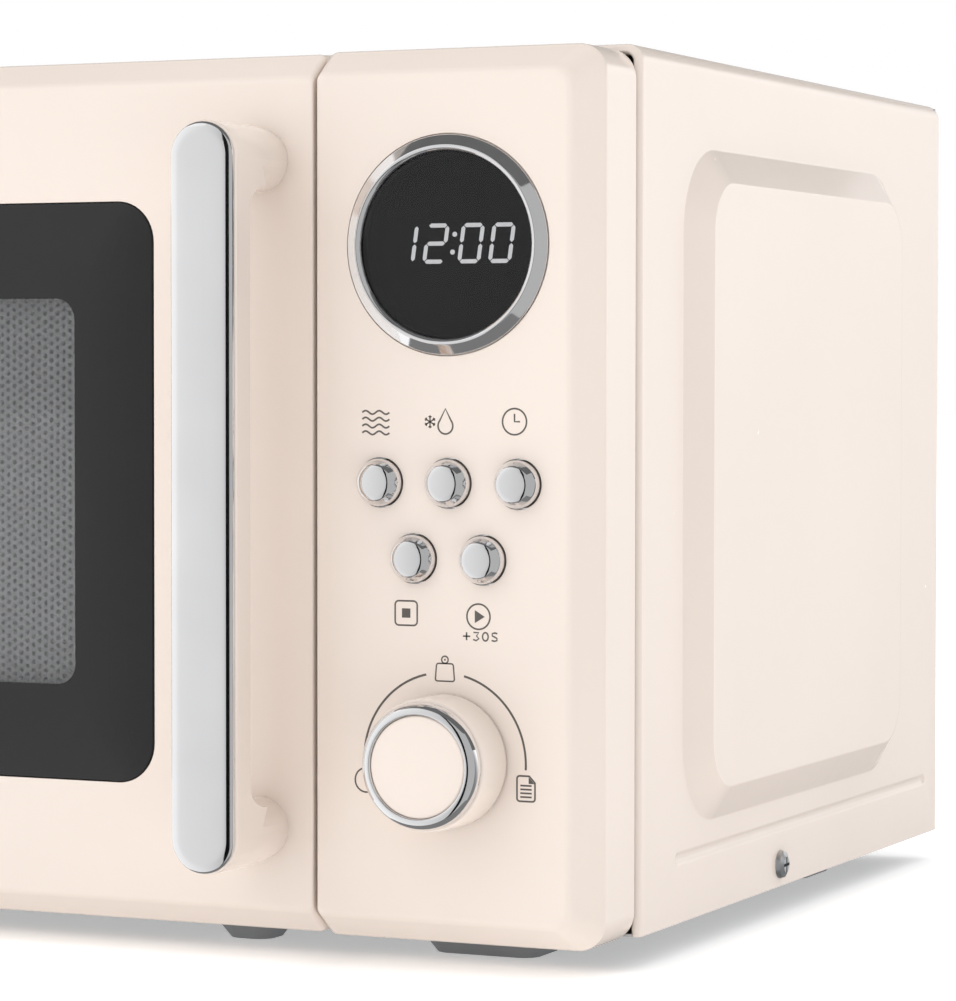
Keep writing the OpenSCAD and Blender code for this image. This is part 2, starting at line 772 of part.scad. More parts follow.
module latch_spring() {
  z = hook_z[0] - 6;
  color("silver") rod_z(latch_x, y_face + 18.5, z - 22, z - 0.3, 2.4);
}

module latch_board() {
  low = hook_z[0] - 10;
  high = hook_z[1] + 20;
  color("ivory") {
    difference() {
      block([latch_x - 9, plate_back, low], [latch_x + 9, plate_back + 3, high]);
      for (z = hook_z)
        block([latch_x - 4.5, plate_back - 1, z - 4.5], [latch_x + 4.5, plate_back + 4, z + 13]);
    }
    block([latch_x - 9, plate_back + 3 - eps, low], [latch_x - 6.5, plate_back + 30, high]);
    block([latch_x + 6.5, plate_back + 3 - eps, low], [latch_x + 9, plate_back + 30, high]);
    // Catch that each hook drops behind
    for (z = hook_z)
      block([latch_x - 6.6, catch_y, z - 8], [latch_x + 6.6, catch_y + 2.5, z - 0.4]);
  }
}

module door_switches() {
  y = catch_y + 9.5;
  color("dimgray") for (z = [hook_z[0] - 8, hook_z[0] + 40, hook_z[1] - 8])
    block([latch_x - 5, y, z], [latch_x + 5, y + 15, z + 27]);
}

// ---- Cavity ----

module waveguide_cover() {
  color("gray") block([cavity_x[1] - 0.9, tray_y + 2, z_mid], [cavity_x[1] - 0.3, tray_y + 78, z_mid + 52]);
}

module waveguide() {
  wall = 1;
  low = [bay_x, tray_y - 40, z_mid - 2];
  high = [bay_x + 20, tray_y + 78, z_mid + 54];
  color("silver") difference() {
    block(low, high);
    block([low.x - 1, low.y + wall, low.z + wall], [high.x - wall, high.y - wall, high.z - wall]);
    rod_x(tray_y - 12, z_mid + 26, high.x - 3, high.x + 1, 10);
  }
}

module magnetron() {
  x0 = bay_x + 20.3;
  low = [x0, tray_y - 52, z_mid - 14];
  color("silver") {
    block([x0, low.y, low.z], [x0 + 2, low.y + 90, low.z + 80]);
    for (i = [0:7])
      block([x0 + 12 + 6 * i, low.y + 8, low.z + 6], [x0 + 13.2 + 6 * i, low.y + 82, low.z + 74]);
    rod_x(tray_y - 12, z_mid + 26, x0 + 1, x0 + 62, 19);
    rod_x(tray_y - 12, z_mid + 26, x0 - 14, x0 + 1, 8);
    block([x0 + 58, low.y + 24, low.z + 18], [x0 + 78, low.y + 66, low.z + 62]);
  }
}

module transformer() {
  low = [bay_x + 14, y_face + 84, bay_floor];
  color("saddlebrown") {
    block(low, [low.x + 84, low.y + 100, low.z + 3]);
    block([low.x + 8, low.y + 20, low.z + 3 - eps], [low.x + 76, low.y + 78, low.z + 84]);
    for (z = [14, 46])
      block([low.x + 18, low.y + 6, low.z + z], [low.x + 66, low.y + 92, low.z + z + 28]);
  }
}

module capacitor() {
  x = bay_x + 36;
  y = y_back - 62;
  color("silver") {
    along_z(bay_floor, bay_floor + 92) round_rect([x - 26, y - 16], [x + 26, y + 16], 15.9);
    for (dx = [-10, 10]) rod_z(x + dx, y, bay_floor + 92 - eps, bay_floor + 102, 3);
  }
}

module diode() {
  color("black") {
    rod_y(right - 40, bay_floor + 12, y_back - 76, y_back - 44, 3.4);
    block([right - 44, y_back - 84, bay_floor], [right - 36, y_back - 76 + eps, bay_floor + 16]);
  }
}

module cavity_lamp() {
  y = y_face + 92;
  z = z_high - 50;
  color("ivory") {
    rod_x(y, z, bay_x + 0.3, bay_x + 22, 11);
    block([bay_x + 22 - eps, y - 14, z - 14], [bay_x + 36, y + 14, z + 14]);
  }
}

module thermal_cutouts() {
  color("dimgray") {
    rod_z(tray_x, tray_y + 40, cavity_z[1] + sheet, cavity_z[1] + sheet + 9, 8);
    rod_z(bay_x + 60, tray_y - 12, z_mid + 66.2, z_mid + 75, 8);
  }
}

module fan_duct() {
  r = fan_r + 3;
  color("dimgray") {
    along_y(fan_y - 6, y_back - 2 * sheet - 0.4) difference() {
      round_rect([fan_x - 50, fan_z - 50], [fan_x + 50, fan_z + 50], 4);
      translate([fan_x, fan_z]) circle(r);
    }
    // Spider that carries the motor
    along_y(fan_y - 8, fan_y - 6 + eps) difference() {
      union() {
        translate([fan_x - 49, fan_z - 6]) square([98, 12]);
        translate([fan_x - 6, fan_z - 49]) square([12, 98]);
      }
      translate([fan_x, fan_z]) circle(6);
    }
  }
}

module fan_motor() {
  y = fan_y - 8.2;
  color("silver") difference() {
    union() {
      block([fan_x - 28, y - 18, fan_z - 22], [fan_x + 28, y, fan_z + 22]);
      rod_y(fan_x, fan_z, y - 26, y + 4, 5.5);
    }
    rod_y(fan_x, fan_z, y - 24, y + 5, fan_shaft_r + running);
  }
}

module fan_impeller() {
  blades = 5;
  color("gray") {
    rod_y(fan_x, fan_z, fan_y - 2, fan_y + 12, 10);
    rod_y(fan_x, fan_z, fan_y - 28, fan_y, fan_shaft_r);
    for (i = [0:blades - 1])
      translate([fan_x, fan_y + 5, fan_z]) rotate([0, i * 360 / blades, 0])
        translate([8, 0, 0]) rotate([28, 0, 0]) translate([0, -0.8, -11]) cube([fan_r - 10, 1.6, 22]);
  }
}

module filter_board() {
  y = y_back - 16;
  color("darkgreen") {
    block([bay_x + 14, y, z_low + 12], [right - 44, y + 1.6, z_low + 100]);
    block([bay_x + 24, y - 16, z_low + 30], [bay_x + 54, y + eps, z_low + 62]);
    rod_y(bay_x + 40, z_low + 82, y - 12, y + eps, 8);
  }
}

// ---- Turntable ----

module turntable_motor() {
  top = floor_z - sheet;
  color("silver") difference() {
    union() {
      rod_z(tray_x, tray_y, top - 14, top, 24);
      block([tray_x - 32, tray_y - 6, top - 1.2], [tray_x + 32, tray_y + 6, top]);
    }
    rod_z(tray_x, tray_y, top - 12, top + 1, shaft_r + running);
  }
}

module drive_coupler() {
  color("ivory") {
    rod_z(tray_x, tray_y, floor_z - sheet - 11, floor_z + 2, shaft_r);
    rod_z(tray_x, tray_y, floor_z + 1, tray_z - 0.45, 7.5);
    for (i = [0:2])
      translate([tray_x, tray_y, floor_z + 4]) rotate([0, 0, 120 * i])
        translate([0, -3.5, 0]) cube([16, 7, tray_z - 0.45 - floor_z - 4]);
  }
}

module glass_tray() {
  r = tray_d / 2;
  color("lightcyan") {
    translate([tray_x, tray_y, tray_z]) rotate_extrude($fn = 120)
      polygon([
        [0, 0], [r - 14, 0], [r - 6, 1.6], [r, 9], [r, 10.6], [r - 1.6, 11.4], [r - 3, 10.4],
        [r - 9, 5.6], [r - 15, 4.4], [0, 4.4],
      ]);
    for (i = [0:2])
      translate([tray_x, tray_y, 0]) rotate([0, 0, 60 + 120 * i])
        rod_z(13, 0, tray_z - 5.5, tray_z + eps, 3);
  }
}

module roller_ring() {
  ring_r = 84;
  color("ivory") translate([tray_x, tray_y, 0]) {
    translate([0, 0, wheel_z - 2.5]) rotate_extrude($fn = 120) translate([ring_r - 6, 0]) square([6, 5]);
    for (i = [0:2]) rotate([0, 0, 30 + 120 * i]) {
      rod_x(0, wheel_z, ring_r - 1, wheel_at + wheel_w / 2 + 1.5, axle_r);
      rod_x(0, wheel_z, wheel_at + wheel_w / 2 + 0.4, wheel_at + wheel_w / 2 + 2, 3.4);
    }
  }
}

module roller_wheel(i) {
  color("white") translate([tray_x, tray_y, 0]) rotate([0, 0, 30 + 120 * i]) difference() {
    rod_x(0, wheel_z, wheel_at - wheel_w / 2, wheel_at + wheel_w / 2, wheel_r);
    rod_x(0, wheel_z, wheel_at - wheel_w, wheel_at + wheel_w, axle_r + running);
  }
}

module roller_wheel_1() { roller_wheel(0); }
module roller_wheel_2() { roller_wheel(1); }
module roller_wheel_3() { roller_wheel(2); }

outer_cabinet();
base_plate();
rear_panel();
front_plate();
cavity_shell();
feet();
control_panel();
display_ring();
display_lens();
display_module();
control_board();
button_switches();
encoder_body();
latch_board();
door_switches();
hinge_brackets();
hinge_pins();
cavity_lamp();
waveguide();
waveguide_cover();
magnetron();
transformer();
capacitor();
diode();
fan_motor();
fan_duct();
thermal_cutouts();
filter_board();
turntable_motor();
cord_gland();
rear_spacers();
cabinet_screws();
door_frame();
door_glass();
mesh_screen();
door_inner_frame();
choke_cover();
inner_window();
handle_body();
handle_strip();
handle_screws();
hinge_bushes();
latch_hooks();
latch_spring();
button_power();
button_defrost();
button_clock();
button_stop();
button_start();
knob_body();
knob_ring();
knob_cap();
encoder_shaft();
drive_coupler();
glass_tray();
roller_ring();
roller_wheel_1();
roller_wheel_2();
roller_wheel_3();
fan_impeller();
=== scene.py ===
"""Looks of the retro countertop microwave oven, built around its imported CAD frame."""

import json
import math

import bmesh
import bpy
from mathutils import Matrix, Vector


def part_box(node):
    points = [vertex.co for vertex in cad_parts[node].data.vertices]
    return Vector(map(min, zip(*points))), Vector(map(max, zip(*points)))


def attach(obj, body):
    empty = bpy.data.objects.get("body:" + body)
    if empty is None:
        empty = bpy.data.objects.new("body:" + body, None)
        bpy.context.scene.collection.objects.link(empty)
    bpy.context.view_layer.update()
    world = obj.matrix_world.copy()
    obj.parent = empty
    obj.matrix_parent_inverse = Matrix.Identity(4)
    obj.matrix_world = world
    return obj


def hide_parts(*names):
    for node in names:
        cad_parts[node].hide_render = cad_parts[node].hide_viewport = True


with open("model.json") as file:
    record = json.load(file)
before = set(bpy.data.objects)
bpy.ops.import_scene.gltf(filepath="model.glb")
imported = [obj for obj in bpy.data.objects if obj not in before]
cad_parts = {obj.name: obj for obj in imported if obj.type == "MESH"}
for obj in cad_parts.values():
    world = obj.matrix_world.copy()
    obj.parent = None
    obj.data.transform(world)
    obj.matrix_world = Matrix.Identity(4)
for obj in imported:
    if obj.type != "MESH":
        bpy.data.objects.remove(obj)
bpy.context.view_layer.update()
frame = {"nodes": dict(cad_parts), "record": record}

MM = 0.001
TIP_R = 1e-7
INK_FRONT = 0.03 * MM
INK_BACK = 0.05 * MM
BOOLEAN_SOLVER = "EXACT"

# ---------------------------------------------------------------- places from the frame

PANEL_LOW, PANEL_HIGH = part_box("control_panel")
DOOR_LOW, DOOR_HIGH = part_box("door_frame")
GLASS_LOW, GLASS_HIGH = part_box("door_glass")
CABINET_LOW, CABINET_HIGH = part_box("outer_cabinet")
RING_LOW, RING_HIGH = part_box("display_ring")
KNOB_LOW, KNOB_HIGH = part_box("knob_body")
STRIP_LOW, STRIP_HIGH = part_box("handle_strip")
Y_FACE = PANEL_LOW.y
Z_MID = (PANEL_LOW.z + PANEL_HIGH.z) / 2
DISPLAY = (RING_LOW + RING_HIGH) / 2
KNOB = (KNOB_LOW + KNOB_HIGH) / 2
BUTTONS = ["button_power", "button_defrost", "button_clock", "button_stop", "button_start"]


# ---------------------------------------------------------------- camera

CAMERA_YAW = math.radians(24.40)
CAMERA_PITCH = math.radians(2.00)
CAMERA_ROLL = math.radians(0.06)
CAMERA_PLACE = (0.6137, -1.0837, 0.1692)
FOCAL_LENGTH = 135.3
SENSOR_WIDTH = 36
CLIP_END = 50


def make_camera():
    """Camera at the photograph's viewing angle."""
    yaw, pitch, roll = CAMERA_YAW, CAMERA_PITCH, CAMERA_ROLL
    forward = Vector((-math.sin(yaw) * math.cos(pitch), math.cos(yaw) * math.cos(pitch),
                      -math.sin(pitch)))
    level_right = Vector((math.cos(yaw), math.sin(yaw), 0))
    level_up = level_right.cross(forward)
    right = math.cos(roll) * level_right + math.sin(roll) * level_up
    up = math.cos(roll) * level_up - math.sin(roll) * level_right
    data = bpy.data.cameras.new("camera")
    data.lens = FOCAL_LENGTH
    data.sensor_width = SENSOR_WIDTH
    data.clip_end = CLIP_END
    camera = bpy.data.objects.new("camera", data)
    turn = Matrix((right, up, -forward)).transposed().to_4x4()
    camera.matrix_world = Matrix.Translation(CAMERA_PLACE) @ turn
    bpy.context.scene.collection.objects.link(camera)
    bpy.context.scene.camera = camera


make_camera()


# ---------------------------------------------------------------- material helpers

def srgb(*levels):
    """Linear colour from 0 to 255 display levels."""
    def one(v):
        v = v / 255
        return v / 12.92 if v <= 0.04045 else ((v + 0.055) / 1.055) ** 2.4
    return tuple(one(v) for v in levels) + (1.0,)


class Shader:
    """A new node material with short ways to add and link nodes."""

    def __init__(self, name, **inputs):
        self.material = bpy.data.materials.new(name)
        self.material.use_nodes = True
        self.tree = self.material.node_tree
        self.main = self.tree.nodes["Principled BSDF"]
        for socket, value in inputs.items():
            self.main.inputs[socket.replace("_", " ")].default_value = value
        self.place = None

    def add(self, kind, **settings):
        node = self.tree.nodes.new("ShaderNode" + kind)
        for key, value in settings.items():
            if hasattr(node, key):
                setattr(node, key, value)
            else:
                node.inputs[key.replace("_", " ")].default_value = value
        return node

    def link(self, source, target):
        self.tree.links.new(source, target)

    def coords(self):
        if self.place is None:
            self.place = self.add("TexCoord").outputs["Object"]
        return self.place

    def noise(self, scale, detail=3.0, stretch=None):
        """Noise value in object space, in cycles a metre."""
        node = self.add("TexNoise", Scale=scale, Detail=detail)
        source = self.coords()
        if stretch:
            mapping = self.add("Mapping")
            mapping.inputs["Scale"].default_value = stretch
            self.link(source, mapping.inputs["Vector"])
            source = mapping.outputs["Vector"]
        self.link(source, node.inputs["Vector"])
        return node.outputs["Fac"]

    def between(self, value, low, high):
        """Map a 0 to 1 value to a number range."""
        node = self.add("MapRange")
        node.inputs["To Min"].default_value = low
        node.inputs["To Max"].default_value = high
        self.link(value, node.inputs["Value"])
        return node.outputs["Result"]

    def colour(self, value, low, high):
        """Blend two colours by a value and drive the base colour with it."""
        ramp = self.add("ValToRGB")
        ramp.color_ramp.elements[0].position = 0.3
        ramp.color_ramp.elements[0].color = low
        ramp.color_ramp.elements[1].position = 0.7
        ramp.color_ramp.elements[1].color = high
        self.link(value, ramp.inputs["Fac"])
        self.link(ramp.outputs["Color"], self.main.inputs["Base Color"])

    def roughness(self, value, low, high):
        self.link(self.between(value, low, high), self.main.inputs["Roughness"])

    def bump(self, value, distance, strength=0.3):
        node = self.add("Bump")
        node.inputs["Distance"].default_value = distance
        node.inputs["Strength"].default_value = strength
        self.link(value, node.inputs["Height"])
        self.link(node.outputs["Normal"], self.main.inputs["Normal"])


# ---------------------------------------------------------------- materials

def cream_paint(name, peel, gloss):
    """Glossy cream finish: slow colour drift, orange peel and faint changes in gloss."""
    s = Shader(name, Coat_Weight=0.35, Coat_Roughness=0.05, IOR=1.5)
    s.colour(s.noise(9, 2), srgb(233, 220, 210), srgb(236, 223, 213))
    s.roughness(s.noise(160, 4), gloss, gloss + 0.07)
    s.bump(s.noise(peel, 2), 0.00012, 0.06)
    return s.material


def plated(name):
    """Chrome plating with hairline smudges."""
    s = Shader(name, Metallic=1.0)
    s.colour(s.noise(30, 2), (0.80, 0.80, 0.81, 1), (0.86, 0.86, 0.87, 1))
    s.roughness(s.noise(220, 5), 0.03, 0.085)
    s.bump(s.noise(60, 1), 0.0001, 0.03)
    return s.material


def metal(name, tone, rough, spangle=0.0, brushed=None):
    """Bare sheet metal, spangled or brushed."""
    s = Shader(name, Metallic=1.0)
    if brushed:
        grain = s.noise(700, 4, brushed)
    else:
        grain = s.noise(90, 5)
    if spangle:
        cells = s.add("TexVoronoi", Scale=130.0)
        s.link(s.coords(), cells.inputs["Vector"])
        s.colour(cells.outputs["Distance"], tuple(c * (1 - spangle) for c in tone) + (1,), tone + (1,))
    else:
        s.colour(grain, tuple(c * 0.9 for c in tone) + (1,), tone + (1,))
    s.roughness(grain, rough, rough + 0.15)
    s.bump(grain, 0.0001, 0.08)
    return s.material


def plastic(name, dark, light, rough, texture=2600, depth=0.15, spread=0.12):
    """Moulded plastic with a fine spark-eroded texture."""
    s = Shader(name)
    s.colour(s.noise(25, 3), dark, light)
    s.roughness(s.noise(300, 4), rough, rough + spread)
    s.bump(s.noise(texture, 2), 0.0001, depth)
    return s.material


def clear(name, tint, rough, ior=1.48):
    """Transparent glass or film with faint surface waviness."""
    s = Shader(name, Transmission_Weight=1.0, IOR=ior)
    s.main.inputs["Base Color"].default_value = tint
    s.roughness(s.noise(120, 4), rough, rough + 0.02)
    s.bump(s.noise(14, 1), 0.0002, 0.02)
    return s.material


def glowing(name, tone, strength):
    """Light of the clock's segments, slightly uneven along each segment."""
    s = Shader(name, Emission_Strength=strength, Roughness=0.4)
    s.main.inputs["Emission Color"].default_value = tone
    s.colour(s.noise(500, 2), srgb(196, 196, 194), srgb(224, 224, 220))
    return s.material


PAINT = cream_paint("cream_paint", 900, 0.22)
SHELL = cream_paint("cream_plastic", 1400, 0.17)
CHROME = plated("chrome_plating")
DOOR_BLACK = plastic("door_black", srgb(22, 22, 23), srgb(27, 27, 28), 0.02, 300, 0.01, 0.04)
GLASS = clear("door_glass", (0.9, 0.91, 0.92, 1), 0.0)
FILM = clear("inner_film", (0.9, 0.92, 0.93, 1), 0.05)
TRAY_GLASS = clear("tray_glass", (0.93, 0.98, 0.97, 1), 0.0, 1.52)
LENS = clear("smoked_lens", (0.35, 0.35, 0.37, 1), 0.0, 1.36)
DIGITS = glowing("clock_light", srgb(228, 228, 224), 1.9)
INK = plastic("print_ink", srgb(88, 82, 78), srgb(96, 90, 85), 0.4)
DARK = plastic("dark_plastic", srgb(38, 38, 40), srgb(50, 50, 52), 0.5)
WHITE = plastic("white_plastic", srgb(222, 221, 214), srgb(233, 232, 226), 0.4)
CUP = plastic("display_cup", srgb(8, 8, 9), srgb(12, 12, 13), 0.8, 300, 0.02)
RUBBER = plastic("grey_foot", srgb(128, 130, 132), srgb(140, 142, 144), 0.6, 1800, 0.3)
GALVANISED = metal("galvanised", (0.60, 0.61, 0.62), 0.35, spangle=0.09)
STEEL = metal("zinc_steel", (0.55, 0.56, 0.57), 0.22)
ALUMINIUM = metal("aluminium", (0.76, 0.77, 0.78), 0.3, brushed=(1, 1, 12))
SCREEN = plastic("screen_enamel", srgb(136, 136, 136), srgb(146, 146, 146), 0.45, 1500, 0.1)
ENAMEL = plastic("cavity_enamel", srgb(178, 178, 174), srgb(190, 190, 186), 0.28, 900, 0.12)
BOARD = plastic("circuit_board", srgb(24, 84, 52), srgb(34, 100, 62), 0.35)
WINDING = plastic("varnished_core", srgb(92, 52, 30), srgb(120, 70, 40), 0.35, 600, 0.5)
MICA = plastic("mica_sheet", srgb(168, 160, 142), srgb(190, 182, 164), 0.5, 500, 0.3)


# ---------------------------------------------------------------- mesh helpers

def new_mesh(name, bm, outward=True):
    """Mesh made from a bmesh, which is then freed; outward turns its faces outwards."""
    mesh = bpy.data.meshes.new(name)
    if outward:
        bmesh.ops.recalc_face_normals(bm, faces=bm.faces)
    bm.to_mesh(mesh)
    bm.free()
    return mesh


def new_object(name, mesh):
    """Object with a mesh, linked to the scene."""
    obj = bpy.data.objects.new(name, mesh)
    bpy.context.scene.collection.objects.link(obj)
    return obj


def piece(name, bm, body, material, nodes=(), smooth=40):
    """Turn a bmesh into a named piece that rides on a body."""
    obj = new_object(name, new_mesh(name, bm))
    obj.data.materials.append(material)
    shade(obj, smooth)
    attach(obj, body)
    if nodes:
        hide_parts(*nodes)
    return obj


def shade(obj, angle):
    """Smooth faces, keeping edges sharper than the angle in degrees."""
    mesh = obj.data
    mesh.shade_smooth()
    bm = bmesh.new()
    bm.from_mesh(mesh)
    for edge in bm.edges:
        edge.smooth = len(edge.link_faces) != 2 or edge.calc_face_angle(0) < math.radians(angle)
    bm.to_mesh(mesh)
    bm.free()


def apply_modifiers(obj):
    """Replace the mesh by its evaluated form."""
    bpy.context.view_layer.update()
    graph = bpy.context.evaluated_depsgraph_get()
    mesh = bpy.data.meshes.new_from_object(obj.evaluated_get(graph))
    obj.modifiers.clear()
    obj.data = mesh


def combine(obj, operation, bm):
    """Boolean of an object with a tool made in a bmesh."""
    tool = new_object("tool", new_mesh("tool", bm))
    modifier = obj.modifiers.new("combine", "BOOLEAN")
    modifier.operation = operation
    modifier.solver = BOOLEAN_SOLVER
    modifier.object = tool
    apply_modifiers(obj)
    bpy.data.objects.remove(tool)


def soften(obj, width, segments=2, angle=35):
    """Small bevel on the sharp edges, then face-weighted normals."""
    bevel = obj.modifiers.new("bevel", "BEVEL")
    bevel.width = width
    bevel.segments = segments
    bevel.limit_method = "ANGLE"
    bevel.angle_limit = math.radians(angle)
    bevel.harden_normals = False
    weight_normals(obj)


def weight_normals(obj):
    """Face-weighted normals that keep the sharp edges."""
    weighted = obj.modifiers.new("weighted", "WEIGHTED_NORMAL")
    weighted.keep_sharp = True


def round_outline(low, high, radii, steps=12):
    """Points of a rectangle with round corners, counter-clockwise from the low-low corner.
    radii are for the corners low-low, high-low, high-high, low-high."""
    if not isinstance(radii, (list, tuple)):
        radii = [radii] * 4
    corners = [(low[0], low[1], 1, 1), (high[0], low[1], -1, 1),
               (high[0], high[1], -1, -1), (low[0], high[1], 1, -1)]
    points = []
    for i, (x, y, sx, sy) in enumerate(corners):
        r = radii[i]
        start = math.pi + i * math.pi / 2
        for k in range(steps + 1):
            a = start + k * math.pi / 2 / steps
            points.append((x + sx * r + r * math.cos(a), y + sy * r + r * math.sin(a)))
    return points


def bridge(bm, first, second):
    """Quads between two closed loops of vertices with equal counts."""
    count = len(first)
    for i in range(count):
        bm.faces.new((first[i], first[(i + 1) % count], second[(i + 1) % count], second[i]))


def loft(loops, close_start=True, close_end=True):
    """Solid through a row of closed loops of points."""
    bm = bmesh.new()
    rings = [[bm.verts.new(p) for p in loop] for loop in loops]
    for a, b in zip(rings, rings[1:]):
        bridge(bm, a, b)
    if close_start:
        bm.faces.new(rings[0])
    if close_end:
        bm.faces.new(rings[-1])
    return bm


def prism_y(outline, y0, y1):
    """Closed prism along Y from an outline in X and Z."""
    return loft([[(x, y, z) for x, z in outline] for y in (y0, y1)])


def ring_of_verts(bm, centre, r, y, steps):
    """Circle of vertices about an axis along Y, or one vertex where the radius is zero."""
    if r < TIP_R:
        return [bm.verts.new((centre.x, y, centre.z))]
    return [bm.verts.new((centre.x + r * math.cos(2 * math.pi * k / steps), y,
                          centre.z + r * math.sin(2 * math.pi * k / steps)))
            for k in range(steps)]


def hoop_y(centre, profile, steps=160):
    """Ring about an axis along Y; profile is a closed row of radius and depth."""
    bm = bmesh.new()
    rings = [ring_of_verts(bm, centre, r, y, steps) for r, y in profile]
    for k in range(len(rings)):
        bridge(bm, rings[k], rings[(k + 1) % len(rings)])
    return bm


def lathe_y(centre, profile, steps=96):
    """Solid of revolution about an axis along Y; profile holds radius and depth."""
    bm = bmesh.new()
    rings = [ring_of_verts(bm, centre, r, y, steps) for r, y in profile]
    for a, b in zip(rings, rings[1:]):
        if len(a) == 1 or len(b) == 1:
            tip, ring = (a[0], b) if len(a) == 1 else (b[0], a)
            for k in range(steps):
                bm.faces.new((tip, ring[k], ring[(k + 1) % steps]))
        else:
            bridge(bm, a, b)
    return bm


def arc(centre, radius, start, end, steps):
    """Points of an arc, angles in degrees, as pairs."""
    return [(centre[0] + radius * math.cos(math.radians(start + (end - start) * k / steps)),
             centre[1] + radius * math.sin(math.radians(start + (end - start) * k / steps)))
            for k in range(steps + 1)]


def full_circle(centre, radius, count):
    """Points of a whole circle, with its start not repeated."""
    return arc(centre, radius, 0, 360 * (count - 1) / count, count - 1)


def sized(profile):
    """Profile in metres from radii in millimetres and depths in millimetres behind the face."""
    return [(r * MM, Y_FACE + y * MM) for r, y in profile]


# ---------------------------------------------------------------- CAD nodes that stay

SLOT_MATERIAL = {
    "cream_paint": PAINT, "cream_plastic": SHELL, "plated_trim": CHROME, "door_pane": GLASS,
    "dark_lens": LENS, "galvanised": GALVANISED, "cavity_enamel": ENAMEL, "screen_steel": SCREEN,
    "grey_plastic": DARK, "white_plastic": WHITE, "clear_film": FILM, "tray_glass": TRAY_GLASS,
    "circuit_board": BOARD, "steel": STEEL, "winding": WINDING, "aluminium": ALUMINIUM,
    "mica": MICA, "foot_rubber": RUBBER,
}
NO_EDGE = {"latch_spring", "door_glass", "inner_window"}
FOOT_EDGE = 2.2 * MM
PART_EDGE = 0.25 * MM


def finish_cad_nodes():
    """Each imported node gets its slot's material and small rounded edges."""
    for row in frame["record"]["subparts"]:
        obj = frame["nodes"][row["node"]]
        obj.data.materials.clear()
        obj.data.materials.append(SLOT_MATERIAL[row["material_slot"]])
        if row["node"] == "feet":
            soften(obj, FOOT_EDGE, 3)
        elif row["node"] not in NO_EDGE:
            soften(obj, PART_EDGE)


finish_cad_nodes()


# ---------------------------------------------------------------- moulded front shells

# The lengths from here to SHELL_EDGE are in millimetres. The chamfer holds pairs of inset and
# depth; each corner pair holds the radius at the chamfer's foot and at its top.
CHAMFER = [(0, 9.4), (0.06, 9.0), (0.25, 8.5), (0.55, 8.0), (6.0, 1.3), (6.5, 0.8), (7.0, 0.44),
           (7.5, 0.2), (8.1, 0.06), (8.8, 0)]
GAP_R = 0.7
REAR_STEPS = (0, 0.06, 0.4, 1.0, 2.0, 3.0)
OUTER_CORNER = (8.5, 5.0)
GAP_CORNER = (2.4, 1.6)
DOOR_REAR_R = 3
PANEL_WALL = 2.2
PANEL_SKIN = 2.6
DOOR_WALL = 2.5
DOOR_SKIN = 3
CORE_R = 4
SHELL_EDGE = 0.35


def arc_inset(depth, radius):
    """Inset of a quarter round at a depth behind its start."""
    if depth >= radius:
        return 0
    return radius - math.sqrt(radius ** 2 - (radius - depth) ** 2)


def front_block(low, high, gap_side, rear_r=0.0):
    """Block with a soft chamfer around its front face, and a small round edge on the door gap's side.
    rear_r rounds the rear edge on the other side, so that a door can swing."""
    full = (high.y - low.y) / MM
    rows = [(0, full - step) for step in REAR_STEPS]
    loops = []
    for inset, depth in rows + CHAMFER:
        gap = arc_inset(depth, GAP_R)
        rear = arc_inset(full - depth, rear_r) if rear_r else 0
        outer = max(inset, rear)
        left, right = (gap, outer) if gap_side == "l" else (outer, gap)
        share = inset / CHAMFER[-1][0]
        outer_r, gap_r = (a + (b - a) * share for a, b in (OUTER_CORNER, GAP_CORNER))
        radii = [gap_r, outer_r, outer_r, gap_r]
        if gap_side == "r":
            radii = [outer_r, gap_r, gap_r, outer_r]
        outline = round_outline((low.x + left * MM, low.z + inset * MM),
                                (high.x - right * MM, high.z - inset * MM), [r * MM for r in radii])
        loops.append([(x, low.y + depth * MM, z) for x, z in outline])
    return loft(loops)


def shell(name, node, body, gap_side, block_mesh, wall, skin, cutters):
    """Moulded cream shell, open at the back, with cutters taken away."""
    low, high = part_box(node)
    obj = piece(name, block_mesh, body, SHELL, (node,))
    full = (high.y - low.y) / MM
    loops = []
    for inset, depth in ((9.6, skin), (6.4, 4.4), (wall, 10.8), (wall, full + wall)):
        left, right = (wall, inset) if gap_side == "l" else (inset, wall)
        outline = round_outline((low.x + left * MM, low.z + inset * MM),
                                (high.x - right * MM, high.z - inset * MM), CORE_R * MM)
        loops.append([(x, low.y + depth * MM, z) for x, z in outline])
    combine(obj, "DIFFERENCE", loft(loops))
    for cutter in cutters:
        combine(obj, "DIFFERENCE", cutter)
    shade(obj, 30)
    soften(obj, SHELL_EDGE * MM, 2, 50)


def hole(centre, radius, depth):
    """Round cutter from a millimetre in front of the face to a depth behind it."""
    y0, y1 = Y_FACE - MM, Y_FACE + depth
    return lathe_y(centre, [(0, y0), (radius, y0), (radius, y1), (0, y1)])


def block(low, high):
    """Plain cutter block."""
    outline = [(low[0], low[2]), (high[0], low[2]), (high[0], high[2]), (low[0], high[2])]
    return prism_y(outline, low[1], high[1])


PLATE_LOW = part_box("front_plate")[0]
RING_R = (RING_HIGH.x - RING_LOW.x) / 2
THROUGH = 6 * MM
RING_SEAT = 2.7 * MM
RING_GROOVE = 0.3 * MM
GROOVE_DEPTH = 0.7 * MM
BUTTON_HOLE_R = 7.05 * MM
SHAFT_HOLE_R = 4.7 * MM
PLATE_GAP = 0.3 * MM
PLATE_NOTCH = 2.8 * MM


